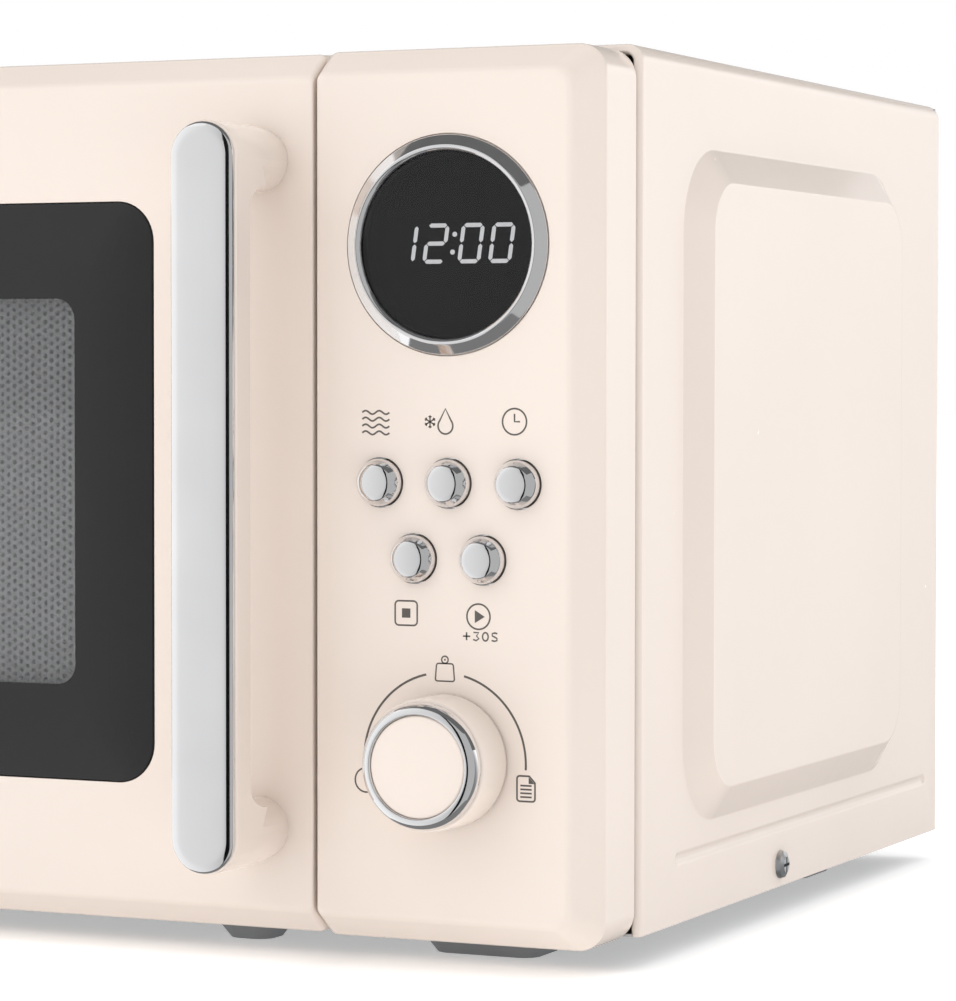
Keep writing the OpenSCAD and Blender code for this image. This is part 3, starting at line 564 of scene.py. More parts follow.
def make_panel():
    """Control panel shell with holes for the display, buttons and knob shaft."""
    cutters = [hole(DISPLAY, RING_R - RING_SEAT, THROUGH),
               hole(DISPLAY, RING_R + RING_GROOVE, GROOVE_DEPTH)]
    for name in BUTTONS:
        low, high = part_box(name)
        cutters.append(hole((low + high) / 2, BUTTON_HOLE_R, THROUGH))
    cutters.append(hole(KNOB, SHAFT_HOLE_R, THROUGH))
    cutters.append(block((PANEL_LOW.x - MM, PLATE_LOW.y - PLATE_GAP, PANEL_LOW.z - MM),
                         (PANEL_LOW.x + PLATE_NOTCH, PANEL_HIGH.y + MM, PANEL_HIGH.z + MM)))
    shell("panel_shell", "control_panel", "cabinet", "l", front_block(PANEL_LOW, PANEL_HIGH, "l"),
          PANEL_WALL, PANEL_SKIN, cutters)


GLASS_GAP = 0.3 * MM
GLASS_SEAT = 3.4 * MM
SEAT_R = 11.8 * MM
GLASS_LEDGE = 6 * MM
LEDGE_R = 6 * MM
HINGE_NOTCH_X = 3 * MM
HINGE_NOTCH_Y = 5.1 * MM
HINGE_NOTCH_Z = 4.2 * MM
HINGE_NOTCH_LOW = 4.8 * MM
HINGE_NOTCH_HIGH = 9.0 * MM


def make_door():
    """Door shell with a recess for the glass, its opening and the hinge notches."""
    def grown(by, radius):
        return round_outline((GLASS_LOW.x - by, GLASS_LOW.z - by),
                             (GLASS_HIGH.x + by, GLASS_HIGH.z + by), radius)
    cutters = [
        prism_y(grown(GLASS_GAP, SEAT_R), Y_FACE - MM, Y_FACE + GLASS_SEAT),
        prism_y(grown(-GLASS_LEDGE, LEDGE_R), Y_FACE - MM, DOOR_HIGH.y + MM),
    ]
    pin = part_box("hinge_pins")
    pin_y = (pin[0].y + pin[1].y) / 2
    for z0 in (DOOR_LOW.z + HINGE_NOTCH_LOW, DOOR_HIGH.z - HINGE_NOTCH_HIGH):
        cutters.append(block((DOOR_LOW.x - MM, pin_y - HINGE_NOTCH_Y, z0),
                             (DOOR_LOW.x + HINGE_NOTCH_X, DOOR_HIGH.y + MM, z0 + HINGE_NOTCH_Z)))
    shell("door_shell", "door_frame", "door", "r", front_block(DOOR_LOW, DOOR_HIGH, "r", DOOR_REAR_R),
          DOOR_WALL, DOOR_SKIN, cutters)


make_panel()
make_door()


# ---------------------------------------------------------------- cabinet wrapper

SIDE_FOOT_R = 25 * MM
SLOPE = 10 * MM
RISE = 6 * MM
BULGE_Y = (Y_FACE + 63.8 * MM, Y_FACE + 257.5 * MM)
BULGE_Z = (Z_MID - 96.5 * MM, Z_MID + 99.8 * MM)
BULGE_FILLET = 1.4 * MM
FILLET_STEPS = 4
BEAD_Z = Z_MID - 105 * MM
BEAD_Y = (Y_FACE + 61 * MM, CABINET_HIGH.y - 14 * MM)
BEAD_R = 2.2
BEAD_PROFILE = ((0, 0), (0.5, 0.12), (1.0, 0.5), (1.4, 0.75), (1.9, 0.85))
WRAP_CORNER = 5 * MM
WRAP_CORNER_MIN = 0.4 * MM
HEM = 2.0 * MM
HEM_FOLD = 3.0 * MM
REAR_BEND = 0.6 * MM
REAR_FLANGE = 10 * MM
SHEET = 0.7 * MM
# Full-round ends keep a sliver of their straight edge, so that no two points meet.
NEARLY = 0.9999


def side_loops():
    """Rows of the raised panel from its foot to its flat top: inset and height."""
    rows = []
    slope = math.atan2(RISE, SLOPE)
    tangent = BULGE_FILLET * math.tan(slope / 2)
    for k in range(FILLET_STEPS + 1):
        a = slope * k / FILLET_STEPS
        rows.append((-tangent + BULGE_FILLET * math.sin(a), BULGE_FILLET * (1 - math.cos(a))))
    for k in range(FILLET_STEPS + 1):
        a = slope * (1 - k / FILLET_STEPS)
        rows.append((SLOPE + tangent - BULGE_FILLET * math.sin(a),
                     RISE - BULGE_FILLET * (1 - math.cos(a))))
    return rows


def make_side(bm, side, wall_x, border):
    """Flat side with the raised panel and the bead; border is the loop of existing vertices."""
    edges = []
    for i in range(len(border)):
        ends = (border[i], border[(i + 1) % len(border)])
        edges.append(bm.edges.get(ends) or bm.edges.new(ends))

    def pressed(rows):
        """Pressed form from outlines in Y and Z at their X; its first edge bounds the flat."""
        previous = None
        for outline, x in rows:
            verts = [bm.verts.new((side * x, y, z)) for y, z in outline]
            if previous:
                bridge(bm, previous, verts)
            else:
                edges.extend(bm.edges.new((verts[i], verts[(i + 1) % len(verts)]))
                             for i in range(len(verts)))
            previous = verts
        bm.faces.new(previous)
    pressed([(round_outline((BULGE_Y[0] + inset, BULGE_Z[0] + inset),
                            (BULGE_Y[1] - inset, BULGE_Z[1] - inset), SIDE_FOOT_R - inset, 16),
              wall_x + height) for inset, height in side_loops()])
    bead = []
    for inset, depth in BEAD_PROFILE:
        r = (BEAD_R - inset) * MM
        outline = round_outline((BEAD_Y[0] - r, BEAD_Z - r), (BEAD_Y[1] + r, BEAD_Z + r), r * 0.999, 8)
        bead.append((outline, wall_x - depth * MM))
    pressed(bead)
    bmesh.ops.triangle_fill(bm, use_beauty=True, edges=edges)


def make_cabinet():
    """Painted sheet-steel wrapper: rolled front hem, raised side panels, beads and a rear flange."""
    wall_x = CABINET_HIGH.x - RISE
    top = CABINET_HIGH.z
    bottom = CABINET_LOW.z
    y0, y1 = CABINET_LOW.y, CABINET_HIGH.y
    stations = [(HEM_FOLD, y0 + 6 * MM), (HEM_FOLD, y0 + 2.2 * MM)]
    for k in range(9):
        a = math.pi * (8 - k) / 8
        reach = HEM if a < math.pi / 2 else HEM_FOLD - HEM
        stations.append((HEM - reach * math.cos(a), y0 + HEM - HEM * math.sin(a)))
    flat_from = len(stations) - 1
    for k in range(5):
        a = math.pi / 2 * k / 4
        stations.append((REAR_BEND - REAR_BEND * math.cos(a), y1 - REAR_BEND + REAR_BEND * math.sin(a)))
    stations.append((REAR_FLANGE, y1))
    rows = []
    bm = bmesh.new()
    for inset, y in stations:
        r = max(WRAP_CORNER - inset, WRAP_CORNER_MIN)
        x = wall_x - inset
        z = top - inset
        section = [(x, bottom)]
        section += arc((x - r, z - r), r, 0, 90, 10)
        section += [(-px, pz) for px, pz in reversed(section)]
        rows.append([bm.verts.new((px, y, pz)) for px, pz in section])
    for i, (a, b) in enumerate(zip(rows, rows[1:])):
        for k in range(len(a) - 1):
            on_side = k == 0 or k == len(a) - 2
            if i == flat_from and on_side:
                continue
            bm.faces.new((a[k], a[k + 1], b[k + 1], b[k]))
    front, back = rows[flat_from], rows[flat_from + 1]
    make_side(bm, 1, wall_x, [front[0], front[1], back[1], back[0]])
    make_side(bm, -1, wall_x, [front[-1], front[-2], back[-2], back[-1]])
    obj = piece("cabinet_wrap", bm, "cabinet", PAINT, ("outer_cabinet",), 25)
    solid = obj.modifiers.new("sheet", "SOLIDIFY")
    solid.thickness = SHEET
    solid.offset = -1
    weight_normals(obj)


make_cabinet()


# ---------------------------------------------------------------- door glass and screen

BORDER_X = 26 * MM
BORDER_Z = 27.5 * MM
WINDOW_X = (GLASS_LOW.x + BORDER_X, GLASS_HIGH.x - BORDER_X)
WINDOW_Z = (GLASS_LOW.z + BORDER_Z, GLASS_HIGH.z - BORDER_Z)
WINDOW_R = 6 * MM
WINDOW_GAP = 0.02 * MM
GLASS_CORNER = 11.5
GLASS_BACK = 3.1
CELL_X = 2.1 * MM
CELL_Z = 2.5 * MM
SCREEN_MARGIN = 3 * MM
# Each hole narrows through the sheet: share of the cell and depth, then straight to the back.
HOLE_MOUTH = 0.62
HOLE_THROAT = 0.30
HOLE_TAPER = 0.32 * MM


def make_glass():
    """Glass pane flush in the door: a black border around a clear window, with ground outer edges."""
    x_pair = (GLASS_LOW.x, GLASS_HIGH.x)
    z_pair = (GLASS_LOW.z, GLASS_HIGH.z)

    def line(x, z, inset, radius):
        return round_outline((x[0] + inset, z[0] + inset), (x[1] - inset, z[1] - inset), radius)
    rows = [(line(x_pair, z_pair, inset * MM, (GLASS_CORNER - inset) * MM), y)
            for inset, y in ((0.5, 0), (0.15, 0.15), (0, 0.5), (0, GLASS_BACK - 0.4), (0.4, GLASS_BACK))]
    rows += [(line(WINDOW_X, WINDOW_Z, 0, WINDOW_R), y) for y in (GLASS_BACK, 0)]
    bm = bmesh.new()
    rings = [[bm.verts.new((x, Y_FACE + y * MM, z)) for x, z in outline] for outline, y in rows]
    for k in range(len(rings)):
        bridge(bm, rings[k], rings[(k + 1) % len(rings)])
    piece("glass_border", bm, "door", DOOR_BLACK, ("door_glass",))
    pane = prism_y(line(WINDOW_X, WINDOW_Z, WINDOW_GAP, WINDOW_R), Y_FACE, Y_FACE + GLASS_BACK * MM)
    piece("glass_window", pane, "door", GLASS, ("door_glass",))


def make_screen():
    """Perforated screen: a honeycomb of holes in one sheet."""
    low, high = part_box("mesh_screen")
    columns = int((high.x - low.x - 2 * SCREEN_MARGIN) / CELL_X)
    rows = int((high.z - low.z - 2 * SCREEN_MARGIN) / CELL_Z)
    radius = CELL_X / 1.5
    bm = bmesh.new()
    shared = {}
    y = low.y

    def vertex(x, z):
        key = (round(x / MM, 3), round(z / MM, 3))
        if key not in shared:
            shared[key] = bm.verts.new((x, y, z))
        return shared[key]
    x0 = (low.x + high.x) / 2 - columns * CELL_X / 2
    z0 = (low.z + high.z) / 2 - rows * CELL_Z / 2
    for i in range(columns):
        for j in range(rows):
            cx = x0 + (i + 0.5) * CELL_X
            cz = z0 + (j + (0.25 if i % 2 else 0.75)) * CELL_Z
            outer = [vertex(cx + radius * sx, cz + CELL_Z * sz)
                     for sx, sz in ((1, 0), (0.5, 0.5), (-0.5, 0.5), (-1, 0), (-0.5, -0.5), (0.5, -0.5))]
            previous = outer
            for size, depth in ((HOLE_MOUTH, 0), (HOLE_THROAT, HOLE_TAPER), (HOLE_THROAT, high.y - y)):
                level = [bm.verts.new((cx + (v.co.x - cx) * size, y + depth, cz + (v.co.z - cz) * size))
                         for v in outer]
                bridge(bm, previous, level)
                previous = level
    piece("door_screen", bm, "door", SCREEN, ("mesh_screen",), 30)


make_glass()
make_screen()


# ---------------------------------------------------------------- handle

BAR_DEPTH = 8 * MM
POST_Z = 94.4 * MM
POST_BASE_R = 8.85 * MM
POST_FRONT_R = 12 * MM
# Quarter curve under the bar, from the post's inner side to the bar's back.
CURVE_START = 8 * MM
CURVE_Y = 10 * MM
CURVE_Z = 6.3 * MM
BAR_RIM = ((1.0, 0.0), (0.45, 0.12), (0.12, 0.45), (0, 1.0))
STRIP_PROFILE = ((0, 2.0), (0, 1.3), (0.08, 0.98), (0.28, 0.76), (0.6, 0.64), (1.1, 0.48), (1.6, 0.33),
                 (2.1, 0.21), (2.5, 0.15), (3.4, 0.1), (5.2, 0.045), (7.4, 0.01), (9.2, 0.0))


def bar_loop(x, half_w, half_l, inset, y):
    """Loop of an upright bar with full-round ends, drawn in on all sides."""
    line = round_outline((x - half_w + inset, Z_MID - half_l + inset),
                         (x + half_w - inset, Z_MID + half_l - inset), (half_w - inset) * NEARLY, 32)
    return [(px, y, pz) for px, pz in line]


def make_handle():
    """Cream arched handle on two tapered posts, and its domed chrome strip."""
    low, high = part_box("handle_body")
    x = (low.x + high.x) / 2
    half_w = (high.x - low.x) / 2
    end = (high.z - low.z) / 2
    front = low.y
    back = front + BAR_DEPTH
    rim = [bar_loop(x, half_w, end, inset * MM, front + y * MM) for inset, y in BAR_RIM]
    rim.append(bar_loop(x, half_w, end, 0, Y_FACE + 2 * MM))
    profile = [(front - MM, -end - MM), (front - MM, end + MM), (back + 2 * MM, end + MM),
               (back + 6 * MM, POST_Z)]
    for degrees in range(0, 91, 10):
        a = math.radians(degrees)
        profile.append((back + CURVE_Y - CURVE_Y * math.sin(a),
                        POST_Z - CURVE_START - CURVE_Z * (1 - math.cos(a))))
    profile += [(y, -z) for y, z in reversed(profile[3:])]
    profile += [(back + 2 * MM, -end - MM)]
    bm = bmesh.new()
    sides = [[bm.verts.new((x + s * (half_w + MM), y, Z_MID + z)) for y, z in profile] for s in (-1, 1)]
    bridge(bm, sides[0], sides[1])
    bm.faces.new(sides[0])
    bm.faces.new(sides[1])
    body = piece("handle_arch", bm, "door", SHELL, ("handle_body",))
    cone = [(0, front + MM), (POST_FRONT_R, front + MM), (POST_BASE_R, Y_FACE), (0, Y_FACE)]
    for s in (-1, 1):
        combine(body, "UNION", lathe_y(Vector((x, 0, Z_MID + s * POST_Z)), cone, 128))
    combine(body, "INTERSECT", loft(rim))
    shade(body, 28)
    soften(body, 0.5 * MM, 3, 40)

    strip = (STRIP_HIGH - STRIP_LOW) / 2
    loops = [bar_loop(x, strip.x, strip.z, inset * MM, STRIP_LOW.y + y * MM) for inset, y in STRIP_PROFILE]
    piece("handle_trim", loft(loops), "door", CHROME, ("handle_strip",), 50)


make_handle()


# ---------------------------------------------------------------- display

SEGMENTS = {"0": "abcdef", "1": "bc", "2": "abged"}
FIGURE_HEIGHT = 10.0 * MM
FIGURE_WIDTH = 5.8 * MM
FIGURE_SLANT = 0.14
SEGMENT_BAR = 1.15 * MM
SEGMENT_GAP = 0.18 * MM
# Clock reading with each figure's offset, then the heights of the two dots, in millimetres.
FIGURES = (("1", -3.9), ("2", 5.5), ("0", 16.2), ("0", 25.5))
DOTS_X = 13.8
DOTS_Z = (2.6, 7.5)
DOT_R = 0.7 * MM
RING_STEPS = 160
# Section of the display ring: distance inwards from its outer radius, and depth behind the face.
RING_SECTION = ((4.65, 3.0), (4.65, -0.7), (4.55, -1.2), (4.3, -1.7), (3.95, -2.05), (3.5, -2.27),
                (3.1, -2.3), (2.8, -2.15), (2.55, -1.87), (0.3, -0.6), (0.08, -0.35), (0, -0.05),
                (0, 0.05), (3, 0.05), (3, 3.0))
LENS_INSET = 4.75
# Lens dome: share of its radius, and depth behind the face.
LENS_DOME = ((0, -0.8), (0.4, -0.75), (0.7, -0.63), (0.9, -0.51), (1, -0.45), (1, 1.5), (0, 1.5))
CUP_R = 26.2 * MM
CUP_WALL = 0.8 * MM
CUP_FRONT = 3.05 * MM


def segment_digit(bm, text, x, z, y):
    """One seven-segment figure from six-sided bars."""
    width, height, bar, gap = FIGURE_WIDTH, FIGURE_HEIGHT, SEGMENT_BAR, SEGMENT_GAP
    half = height / 2
    ends = {
        "a": ((0, height), (width, height)), "g": ((0, half), (width, half)), "d": ((0, 0), (width, 0)),
        "f": ((0, half), (0, height)), "b": ((width, half), (width, height)),
        "e": ((0, 0), (0, half)), "c": ((width, 0), (width, half)),
    }
    for name in SEGMENTS[text]:
        (ax, az), (bx, bz) = ends[name]
        dx, dz = (bx - ax), (bz - az)
        length = math.hypot(dx, dz)
        dx, dz = dx / length, dz / length
        nx, nz = -dz * bar / 2, dx * bar / 2
        tip = bar / 2
        stops = [(gap, 0), (gap + tip, 1), (length - gap - tip, 1), (length - gap, 0),
                 (length - gap - tip, -1), (gap + tip, -1)]
        outline = []
        for along, side in stops:
            px = ax + dx * along + nx * side
            pz = az + dz * along + nz * side
            outline.append((x + px + FIGURE_SLANT * pz, z + pz))
        add_prism(bm, outline, y - INK_FRONT, y + INK_BACK)


def add_prism(bm, outline, y0, y1):
    rings = [[bm.verts.new((px, y, pz)) for px, pz in outline] for y in (y0, y1)]
    bridge(bm, rings[0], rings[1])
    bm.faces.new(rings[0])
    bm.faces.new(rings[1])


def make_display():
    """Chrome ring, smoked lens and the lit clock figures."""
    r = RING_R / MM
    ring = hoop_y(DISPLAY, sized((r - inset, y) for inset, y in RING_SECTION), RING_STEPS)
    piece("clock_ring", ring, "cabinet", CHROME, ("display_ring",), 50)
    lens = lathe_y(DISPLAY, sized(((r - LENS_INSET) * share, y) for share, y in LENS_DOME), 128)
    piece("clock_lens", lens, "cabinet", LENS, ("display_lens",), 50)
    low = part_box("display_module")[0]
    cup = [(0, low.y), (CUP_R - CUP_WALL, low.y), (CUP_R - CUP_WALL, Y_FACE + CUP_FRONT),
           (CUP_R, Y_FACE + CUP_FRONT), (CUP_R, low.y + MM), (0, low.y + MM)]
    piece("clock_cup", lathe_y(DISPLAY, cup), "cabinet", CUP, ("display_module",))
    bm = bmesh.new()
    x = DISPLAY.x - 15.13 * MM
    y = low.y - 0.1 * MM
    z = DISPLAY.z - 4.45 * MM
    for text, offset in FIGURES:
        segment_digit(bm, text, x + offset * MM, z, y)
    for dz in DOTS_Z:
        dot = (x + DOTS_X * MM + FIGURE_SLANT * dz * MM, z + dz * MM)
        add_prism(bm, full_circle(dot, DOT_R, 24), y - INK_FRONT, y + INK_BACK)
    piece("clock_figures", bm, "cabinet", DIGITS)


make_display()


# ---------------------------------------------------------------- buttons and knob

# Profiles hold radius and depth behind the face in millimetres.
FACE_STEP = 0.475
FACE_LIFT = 0.0135
BUTTON_FRONT = -4.8
BUTTON_SIDE = [(4.1, -4.545), (4.35, -4.48), (4.65, -4.38), (4.9, -4.28), (5.05, -4.18), (5.15, -4.08),
               (5.25, -3.95), (6.15, -2.75), (6.4, -2.35), (6.55, -1.9), (6.64, -1.3), (6.7, -0.6),
               (6.7, 3.1), (0, 3.1)]
FLANGE_R = 8.15
FLANGE_Y = (3.1, 4.3)
STEM_R = 2.0
KNOB_STEPS = 160
KNOB_FRONT = -15.5
BEZEL_INSET = 1.05
# Section of the knob's polished ring: distance inwards from its outer radius, and depth.
BEZEL_SECTION = ((3.35, KNOB_FRONT), (3.35, -19.3), (3.2, -19.65), (3.0, -19.75), (2.5, -19.68),
                 (1.7, -19.47), (1.3, -19.29), (0.9, -18.95), (0.5, -18.4), (0.2, -17.7), (0, -16.9),
                 (0, KNOB_FRONT))
CAP_INSET = 4.5


def make_buttons():
    """Domed chrome push buttons, each with its flange and stem behind the panel."""
    face = [(FACE_STEP * k, BUTTON_FRONT + FACE_LIFT * (FACE_STEP * k) ** 2) for k in range(9)]
    for name in BUTTONS:
        low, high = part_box(name)
        centre = (low + high) / 2
        end = (high.y - Y_FACE) / MM
        bm = lathe_y(centre, sized(face + BUTTON_SIDE))
        back = [(0, FLANGE_Y[0]), (FLANGE_R, FLANGE_Y[0]), (FLANGE_R, FLANGE_Y[1]), (STEM_R, FLANGE_Y[1]),
                (STEM_R, end), (0, end)]
        bm.from_mesh(new_mesh("back", lathe_y(centre, sized(back), 48), outward=False))
        piece(name + "_cap", bm, name, CHROME, (name,), 45)


def make_knob():
    """Knob: cream skirt, polished ring with a rolled edge, and a flat cream cap."""
    r = (KNOB_HIGH.x - KNOB_LOW.x) / 2 / MM
    skirt = [(0, -15.4), (r - 1.0, -15.4), (r - 0.55, -15.1), (r - 0.35, -14.4), (r, -2.0), (r, -0.9),
             (r - 0.2, -0.65), (r - 1.8, -0.6), (r - 2.4, -13), (6.5, -13), (6.5, -0.9), (0, -0.9)]
    piece("knob_skirt", lathe_y(KNOB, sized(skirt), KNOB_STEPS), "knob", SHELL,
          ("knob_body",), 45)
    bezel = sized((r - BEZEL_INSET - inset, y) for inset, y in BEZEL_SECTION)
    piece("knob_bezel", hoop_y(KNOB, bezel, KNOB_STEPS), "knob", CHROME, ("knob_ring",), 50)
    c = r - CAP_INSET
    cap = [(0, -19.25), (c - 0.6, -19.25), (c - 0.2, -19.15), (c - 0.02, -18.9), (c, KNOB_FRONT),
           (0, KNOB_FRONT)]
    piece("knob_face", lathe_y(KNOB, sized(cap), KNOB_STEPS), "knob", SHELL,
          ("knob_cap",), 45)


make_buttons()
make_knob()


# ---------------------------------------------------------------- printed symbols

PRINT_X = PANEL_HIGH.x - 43.03 * MM
# Widths of the printed lines.
WAVE_LINE = 0.5 * MM
FLAKE_LINE = 0.4 * MM
TWIG_LINE = 0.3 * MM
SYMBOL_LINE = 0.48 * MM
LETTER_LINE = 0.44 * MM
WEIGHT_LINE = 0.42 * MM
SHEET_LINE = 0.5 * MM
ARC_LINE = 0.62 * MM


def stroke(bm, points, width, closed=False):
    """Printed line of constant width through points in X and Z."""
    count = len(points)
    left, right = [], []
    for i, (px, pz) in enumerate(points):
        before = points[i - 1] if i or closed else points[i]
        after = points[(i + 1) % count] if i < count - 1 or closed else points[i]
        dx, dz = after[0] - before[0], after[1] - before[1]
        length = math.hypot(dx, dz) or 1
        nx, nz = -dz / length * width / 2, dx / length * width / 2
        left.append((px + nx, pz + nz))
        right.append((px - nx, pz - nz))
    spans = count if closed else count - 1
    levels = [[[bm.verts.new((x, y, z)) for x, z in side] for side in (left, right)]
              for y in (Y_FACE - INK_FRONT, Y_FACE + INK_BACK)]
    (a, b), (c, d) = levels
    for i in range(spans):
        j = (i + 1) % count
        for quad in ((a[i], a[j], b[j], b[i]), (c[i], c[j], d[j], d[i]), (a[i], a[j], c[j], c[i]),
                     (b[i], b[j], d[j], d[i])):
            bm.faces.new(quad)
    if not closed:
        for i in (0, count - 1):
            bm.faces.new((a[i], b[i], d[i], c[i]))


def filled(bm, outline):
    """Printed area inside an outline."""
    add_prism(bm, outline, Y_FACE - INK_FRONT, Y_FACE + INK_BACK)


def at(x, z):
    """Point on the panel in millimetres from the print's centre line and the front's mid height."""
    return (PRINT_X + x * MM, Z_MID + z * MM)


def path(*pairs):
    """Points on the panel from pairs in millimetres."""
    return [at(x, z) for x, z in pairs]


def print_heating(bm):
    """Four wavy lines for microwave power."""
    for row in range(4):
        z = 23.6 - 1.9 * row
        wave = [(-27.1 + 8.4 * k / 24, z + 0.5 * math.sin(k / 24 * 4 * math.pi)) for k in range(25)]
        stroke(bm, path(*wave), WAVE_LINE)


def print_defrost(bm):
    """Snowflake and water drop."""
    cx, cz = -6.2, 21.1
    for k in range(3):
        a = math.radians(90 + 60 * k)
        dx, dz = math.cos(a), math.sin(a)
        stroke(bm, path((cx - 1.8 * dx, cz - 1.8 * dz), (cx + 1.8 * dx, cz + 1.8 * dz)), FLAKE_LINE)
        for s in (-1, 1):
            for turn in (-50, 50):
                b = a + math.radians(turn)
                px, pz = cx + s * 1.15 * dx, cz + s * 1.15 * dz
                tip = (px + s * 0.6 * math.cos(b), pz + s * 0.6 * math.sin(b))
                stroke(bm, path((px, pz), tip), TWIG_LINE)
    drop = [(-1.5, 24.7)] + arc((-1.5, 20.0), 2.25, 38, -218, 28)
    stroke(bm, path(*drop), SYMBOL_LINE, closed=True)


def print_clock(bm, x, z, r):
    """Clock face with two hands."""
    stroke(bm, path(*full_circle((x, z), r, 48)), SYMBOL_LINE, closed=True)
    stroke(bm, path((x, z + r * 0.6), (x, z), (x + r * 0.45, z)), SYMBOL_LINE)


def print_stop(bm):
    """Square in a rounded frame."""
    x, z = -13.5, -32.2
    frame_line = round_outline(at(x - 3.4, z - 3.4), at(x + 3.4, z + 3.4), 1.1 * MM, 5)
    stroke(bm, frame_line, SYMBOL_LINE, closed=True)
    filled(bm, path((x - 1.3, z - 1.3), (x + 1.3, z - 1.3), (x + 1.3, z + 1.3), (x - 1.3, z + 1.3)))


def print_start(bm):
    """Triangle in a circle, and the mark for thirty more seconds below it."""
    x, z = 8.6, -32.6
    stroke(bm, path(*full_circle((x, z), 3.5, 48)), SYMBOL_LINE, closed=True)
    filled(bm, path((x - 1.1, z - 1.8), (x + 1.9, z), (x - 1.1, z + 1.8)))
    z = -38.1
    plus = [((3.9, z), (6.1, z)), ((5.0, z - 1.1), (5.0, z + 1.1))]
    three = ((7.1, z + 1.1), (8.7, z + 1.1), (8.0, z + 0.15), (8.75, z - 0.6), (7.9, z - 1.15),
             (7.0, z - 0.85))
    letter = ((14.3, z + 0.95), (13.6, z + 1.15), (12.8, z + 0.95), (12.75, z + 0.35), (13.5, z),
              (14.2, z - 0.35), (14.2, z - 0.95), (13.4, z - 1.15), (12.6, z - 0.95))
    for line in plus + [three, letter]:
        stroke(bm, path(*line), LETTER_LINE)
    zero = [(10.7 + 0.85 * math.cos(a), z + 1.15 * math.sin(a))
            for a in [2 * math.pi * k / 24 for k in range(24)]]
    stroke(bm, path(*zero), LETTER_LINE, closed=True)


def print_weight(bm):
    """Kitchen weight above the knob."""
    x, z = -1.6, -50.8
    body = arc((x - 2.3, z + 0.6), 0.6, 180, 270, 4) + arc((x + 2.3, z + 0.6), 0.6, 270, 360, 4)
    body += arc((x + 1.9, z + 4.2), 0.7, 8, 90, 4) + arc((x - 1.9, z + 4.2), 0.7, 90, 172, 4)
    stroke(bm, path(*body), WEIGHT_LINE, closed=True)
    stroke(bm, path(*full_circle((x, z + 5.95), 1.0, 24)), WEIGHT_LINE, closed=True)
    filled(bm, path(*full_circle((x, z + 5.95), 0.28, 12)))


def print_menu(bm):
    """Sheet of paper with a folded corner."""
    x, z = 20.3, -83.1
    sheet = arc((x + 0.8, z + 0.8), 0.8, 180, 270, 4) + arc((x + 4.6, z + 0.8), 0.8, 270, 360, 4)
    sheet += [(x + 5.4, z + 5.2), (x + 3.7, z + 7.0)] + arc((x + 0.8, z + 6.2), 0.8, 90, 180, 4)
    stroke(bm, path(*sheet), SHEET_LINE, closed=True)
    filled(bm, path((x + 3.5, z + 6.8), (x + 3.5, z + 4.9), (x + 5.3, z + 4.9)))
    for row in range(4):
        line_z = z + 1.2 + 1.05 * row
        stroke(bm, path((x + 1.0, line_z), (x + 4.4, line_z)), SYMBOL_LINE)


def make_print():
    """All printed symbols and the arc around the knob."""
    bm = bmesh.new()
    print_heating(bm)
    print_defrost(bm)
    print_clock(bm, 19.4, 21.3, 3.6)
    print_stop(bm)
    print_start(bm)
    print_weight(bm)
    print_menu(bm)
    print_clock(bm, -25.9, -79.4, 3.4)
    for start, end in ((76, -3), (103, 179)):
        stroke(bm, path(*arc((-1.75, -73.2), 24.7, start, end, 30)), ARC_LINE)
    piece("panel_print", bm, "cabinet", INK)


make_print()


# ---------------------------------------------------------------- floor and lights

FLOOR_REACH = 12.0
FLOOR_GLOW = 0.34
CEILING_HEIGHT = 2.15
CEILING_REACH = 6
CEILING_LEVEL = 0.13
CARD_HEIGHT = (-2.2, 2.1)
CARD_STEPS = 16
KEY_PLACE = (-1.3, -1.5, 1.9)
KEY_AIM = (0, 0, 0.13)
KEY_SIZE = 1.4
KEY_POWER = 0.8
WHITE_LIGHT = (1, 1, 1, 1)


def on_stage(name, bm, material):
    """Object of the stage from a bmesh, its faces left as they are."""
    obj = new_object(name, new_mesh(name, bm, outward=False))
    obj.data.materials.append(material)
    return obj


def flat_square(name, reach, height, material):
    """Level square about the origin, put on the stage."""
    bm = bmesh.new()
    corners = ((-reach, -reach), (reach, -reach), (reach, reach), (-reach, reach))
    bm.faces.new([bm.verts.new((x, y, height)) for x, y in corners])
    return on_stage(name, bm, material)


def reflected_only(obj):
    """Let an object show in reflections and nowhere else."""
    obj.visible_camera = False
    obj.visible_diffuse = False
    obj.visible_shadow = False
    obj.visible_transmission = False


def make_floor():
    """Pale floor under and behind the oven."""
    s = Shader("floor_paint", Roughness=0.75, Specular_IOR_Level=0.15, Emission_Strength=FLOOR_GLOW)
    s.main.inputs["Emission Color"].default_value = WHITE_LIGHT
    s.colour(s.noise(3, 2), (0.93, 0.93, 0.93, 1), (0.95, 0.95, 0.95, 1))
    floor = flat_square("floor", FLOOR_REACH, 0, s.material)
    floor.visible_glossy = False


def make_ceiling():
    """Dim ceiling that only polished surfaces see."""
    s = Shader("ceiling_glow", Roughness=1.0, Emission_Strength=CEILING_LEVEL)
    s.main.inputs["Emission Color"].default_value = WHITE_LIGHT
    s.colour(s.noise(2, 1), (0, 0, 0, 1), (0.01, 0.01, 0.01, 1))
    reflected_only(flat_square("ceiling", CEILING_REACH, CEILING_HEIGHT, s.material))


def make_key():
    """Square soft light from the front left, aimed at the oven."""
    data = bpy.data.lights.new("key", "AREA")
    data.shape = "SQUARE"
    data.size = KEY_SIZE
    data.energy = KEY_POWER
    light = bpy.data.objects.new("key", data)
    light.location = KEY_PLACE
    light.rotation_euler = (Vector(KEY_AIM) - Vector(KEY_PLACE)).to_track_quat("-Z", "Y").to_euler()
    bpy.context.scene.collection.objects.link(light)


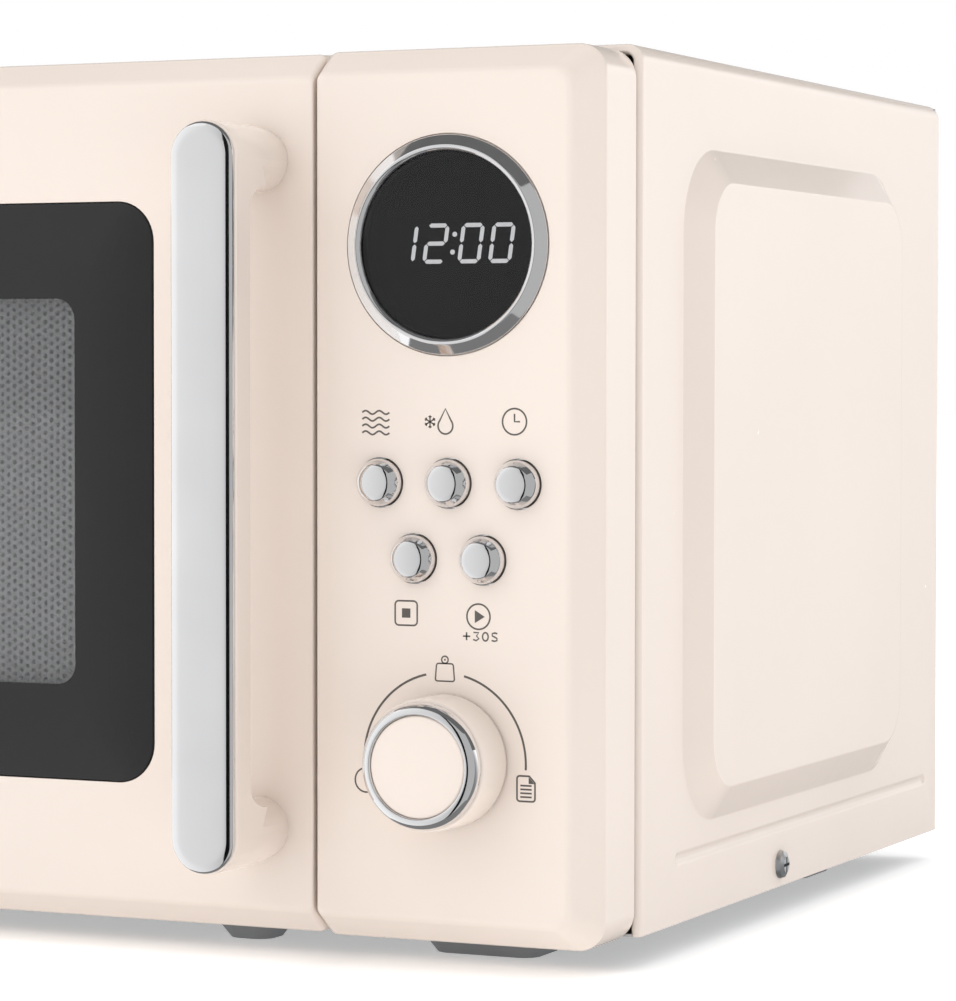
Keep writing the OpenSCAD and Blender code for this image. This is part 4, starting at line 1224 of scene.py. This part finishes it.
def card(name, azimuth, span, distance, level, fade=0.0):
    """Upright curved card that only polished surfaces see, centred in front of the oven.
    azimuth and span are degrees to the right of straight ahead; level is its brightness,
    which grows by fade towards its left edge."""
    s = Shader(name + "_glow", Roughness=1.0, Emission_Strength=1.0)
    s.main.inputs["Base Color"].default_value = (0, 0, 0, 1)
    across = s.add("SeparateXYZ")
    s.link(s.coords(), across.inputs[0])
    shift = s.add("MapRange", From_Min=-distance, From_Max=0.0, To_Min=level + fade, To_Max=level)
    s.link(across.outputs["X"], shift.inputs["Value"])
    s.link(shift.outputs["Result"], s.main.inputs["Emission Strength"])
    s.main.inputs["Emission Color"].default_value = WHITE_LIGHT
    bm = bmesh.new()
    rows = []
    for k in range(CARD_STEPS + 1):
        a = math.radians(azimuth - span / 2 + span * k / CARD_STEPS)
        x, y = distance * math.sin(a), -distance * math.cos(a)
        rows.append([bm.verts.new((x, y, z)) for z in CARD_HEIGHT])
    for a, b in zip(rows, rows[1:]):
        bm.faces.new((a[0], a[1], b[1], b[0]))
    reflected_only(on_stage(name, bm, s.material))


# Broad lights of the surroundings: direction, sharpness and level.
LOBES = (
    ((-0.60, -0.92, 0.55), 4.0, 1.2),
    ((0.66, 0.90, 0.45), 6.0, 1.52),
    ((0.0, 0.0, 1.0), 2.0, 1.2),
)
SURROUND = 0.22


def make_world():
    """Soft studio surroundings: broad light from the front left, the rear right and above.
    The camera itself sees a plain white background."""
    world = bpy.data.worlds.new("studio")
    world.use_nodes = True
    tree = world.node_tree
    background = tree.nodes["Background"]
    direction = tree.nodes.new("ShaderNodeTexCoord").outputs["Generated"]

    def maths(operation, first, second):
        node = tree.nodes.new("ShaderNodeMath")
        node.operation = operation
        for k, value in enumerate((first, second)):
            if isinstance(value, (int, float)):
                node.inputs[k].default_value = value
            else:
                tree.links.new(value, node.inputs[k])
        return node.outputs[0]
    total = SURROUND
    for aim, power, level in LOBES:
        dot = tree.nodes.new("ShaderNodeVectorMath")
        dot.operation = "DOT_PRODUCT"
        tree.links.new(direction, dot.inputs[0])
        dot.inputs[1].default_value = Vector(aim).normalized()
        lobe = maths("POWER", maths("MAXIMUM", dot.outputs["Value"], 0.0), power)
        total = maths("ADD", maths("MULTIPLY", lobe, level), total)
    tree.links.new(total, background.inputs["Strength"])
    plain = tree.nodes.new("ShaderNodeBackground")
    plain.inputs["Color"].default_value = WHITE_LIGHT
    mix = tree.nodes.new("ShaderNodeMixShader")
    seen = tree.nodes.new("ShaderNodeLightPath").outputs["Is Camera Ray"]
    tree.links.new(seen, mix.inputs[0])
    tree.links.new(background.outputs[0], mix.inputs[1])
    tree.links.new(plain.outputs[0], mix.inputs[2])
    background.inputs["Color"].default_value = WHITE_LIGHT
    tree.links.new(mix.outputs[0], tree.nodes["World Output"].inputs["Surface"])
    bpy.context.scene.world = world


def make_light():
    """Surroundings, one soft key lamp, and the cards and ceiling that polished surfaces reflect."""
    make_world()
    make_key()
    card("card_left", -47, 96, 2.3, 0.62, 0.5)
    card("card_black", 6.5, 9, 2.2, 0.0)
    card("card_right", 50, 76, 2.3, 0.5)
    make_ceiling()


make_floor()
make_light()

scene = bpy.context.scene
scene.view_settings.view_transform = "Standard"
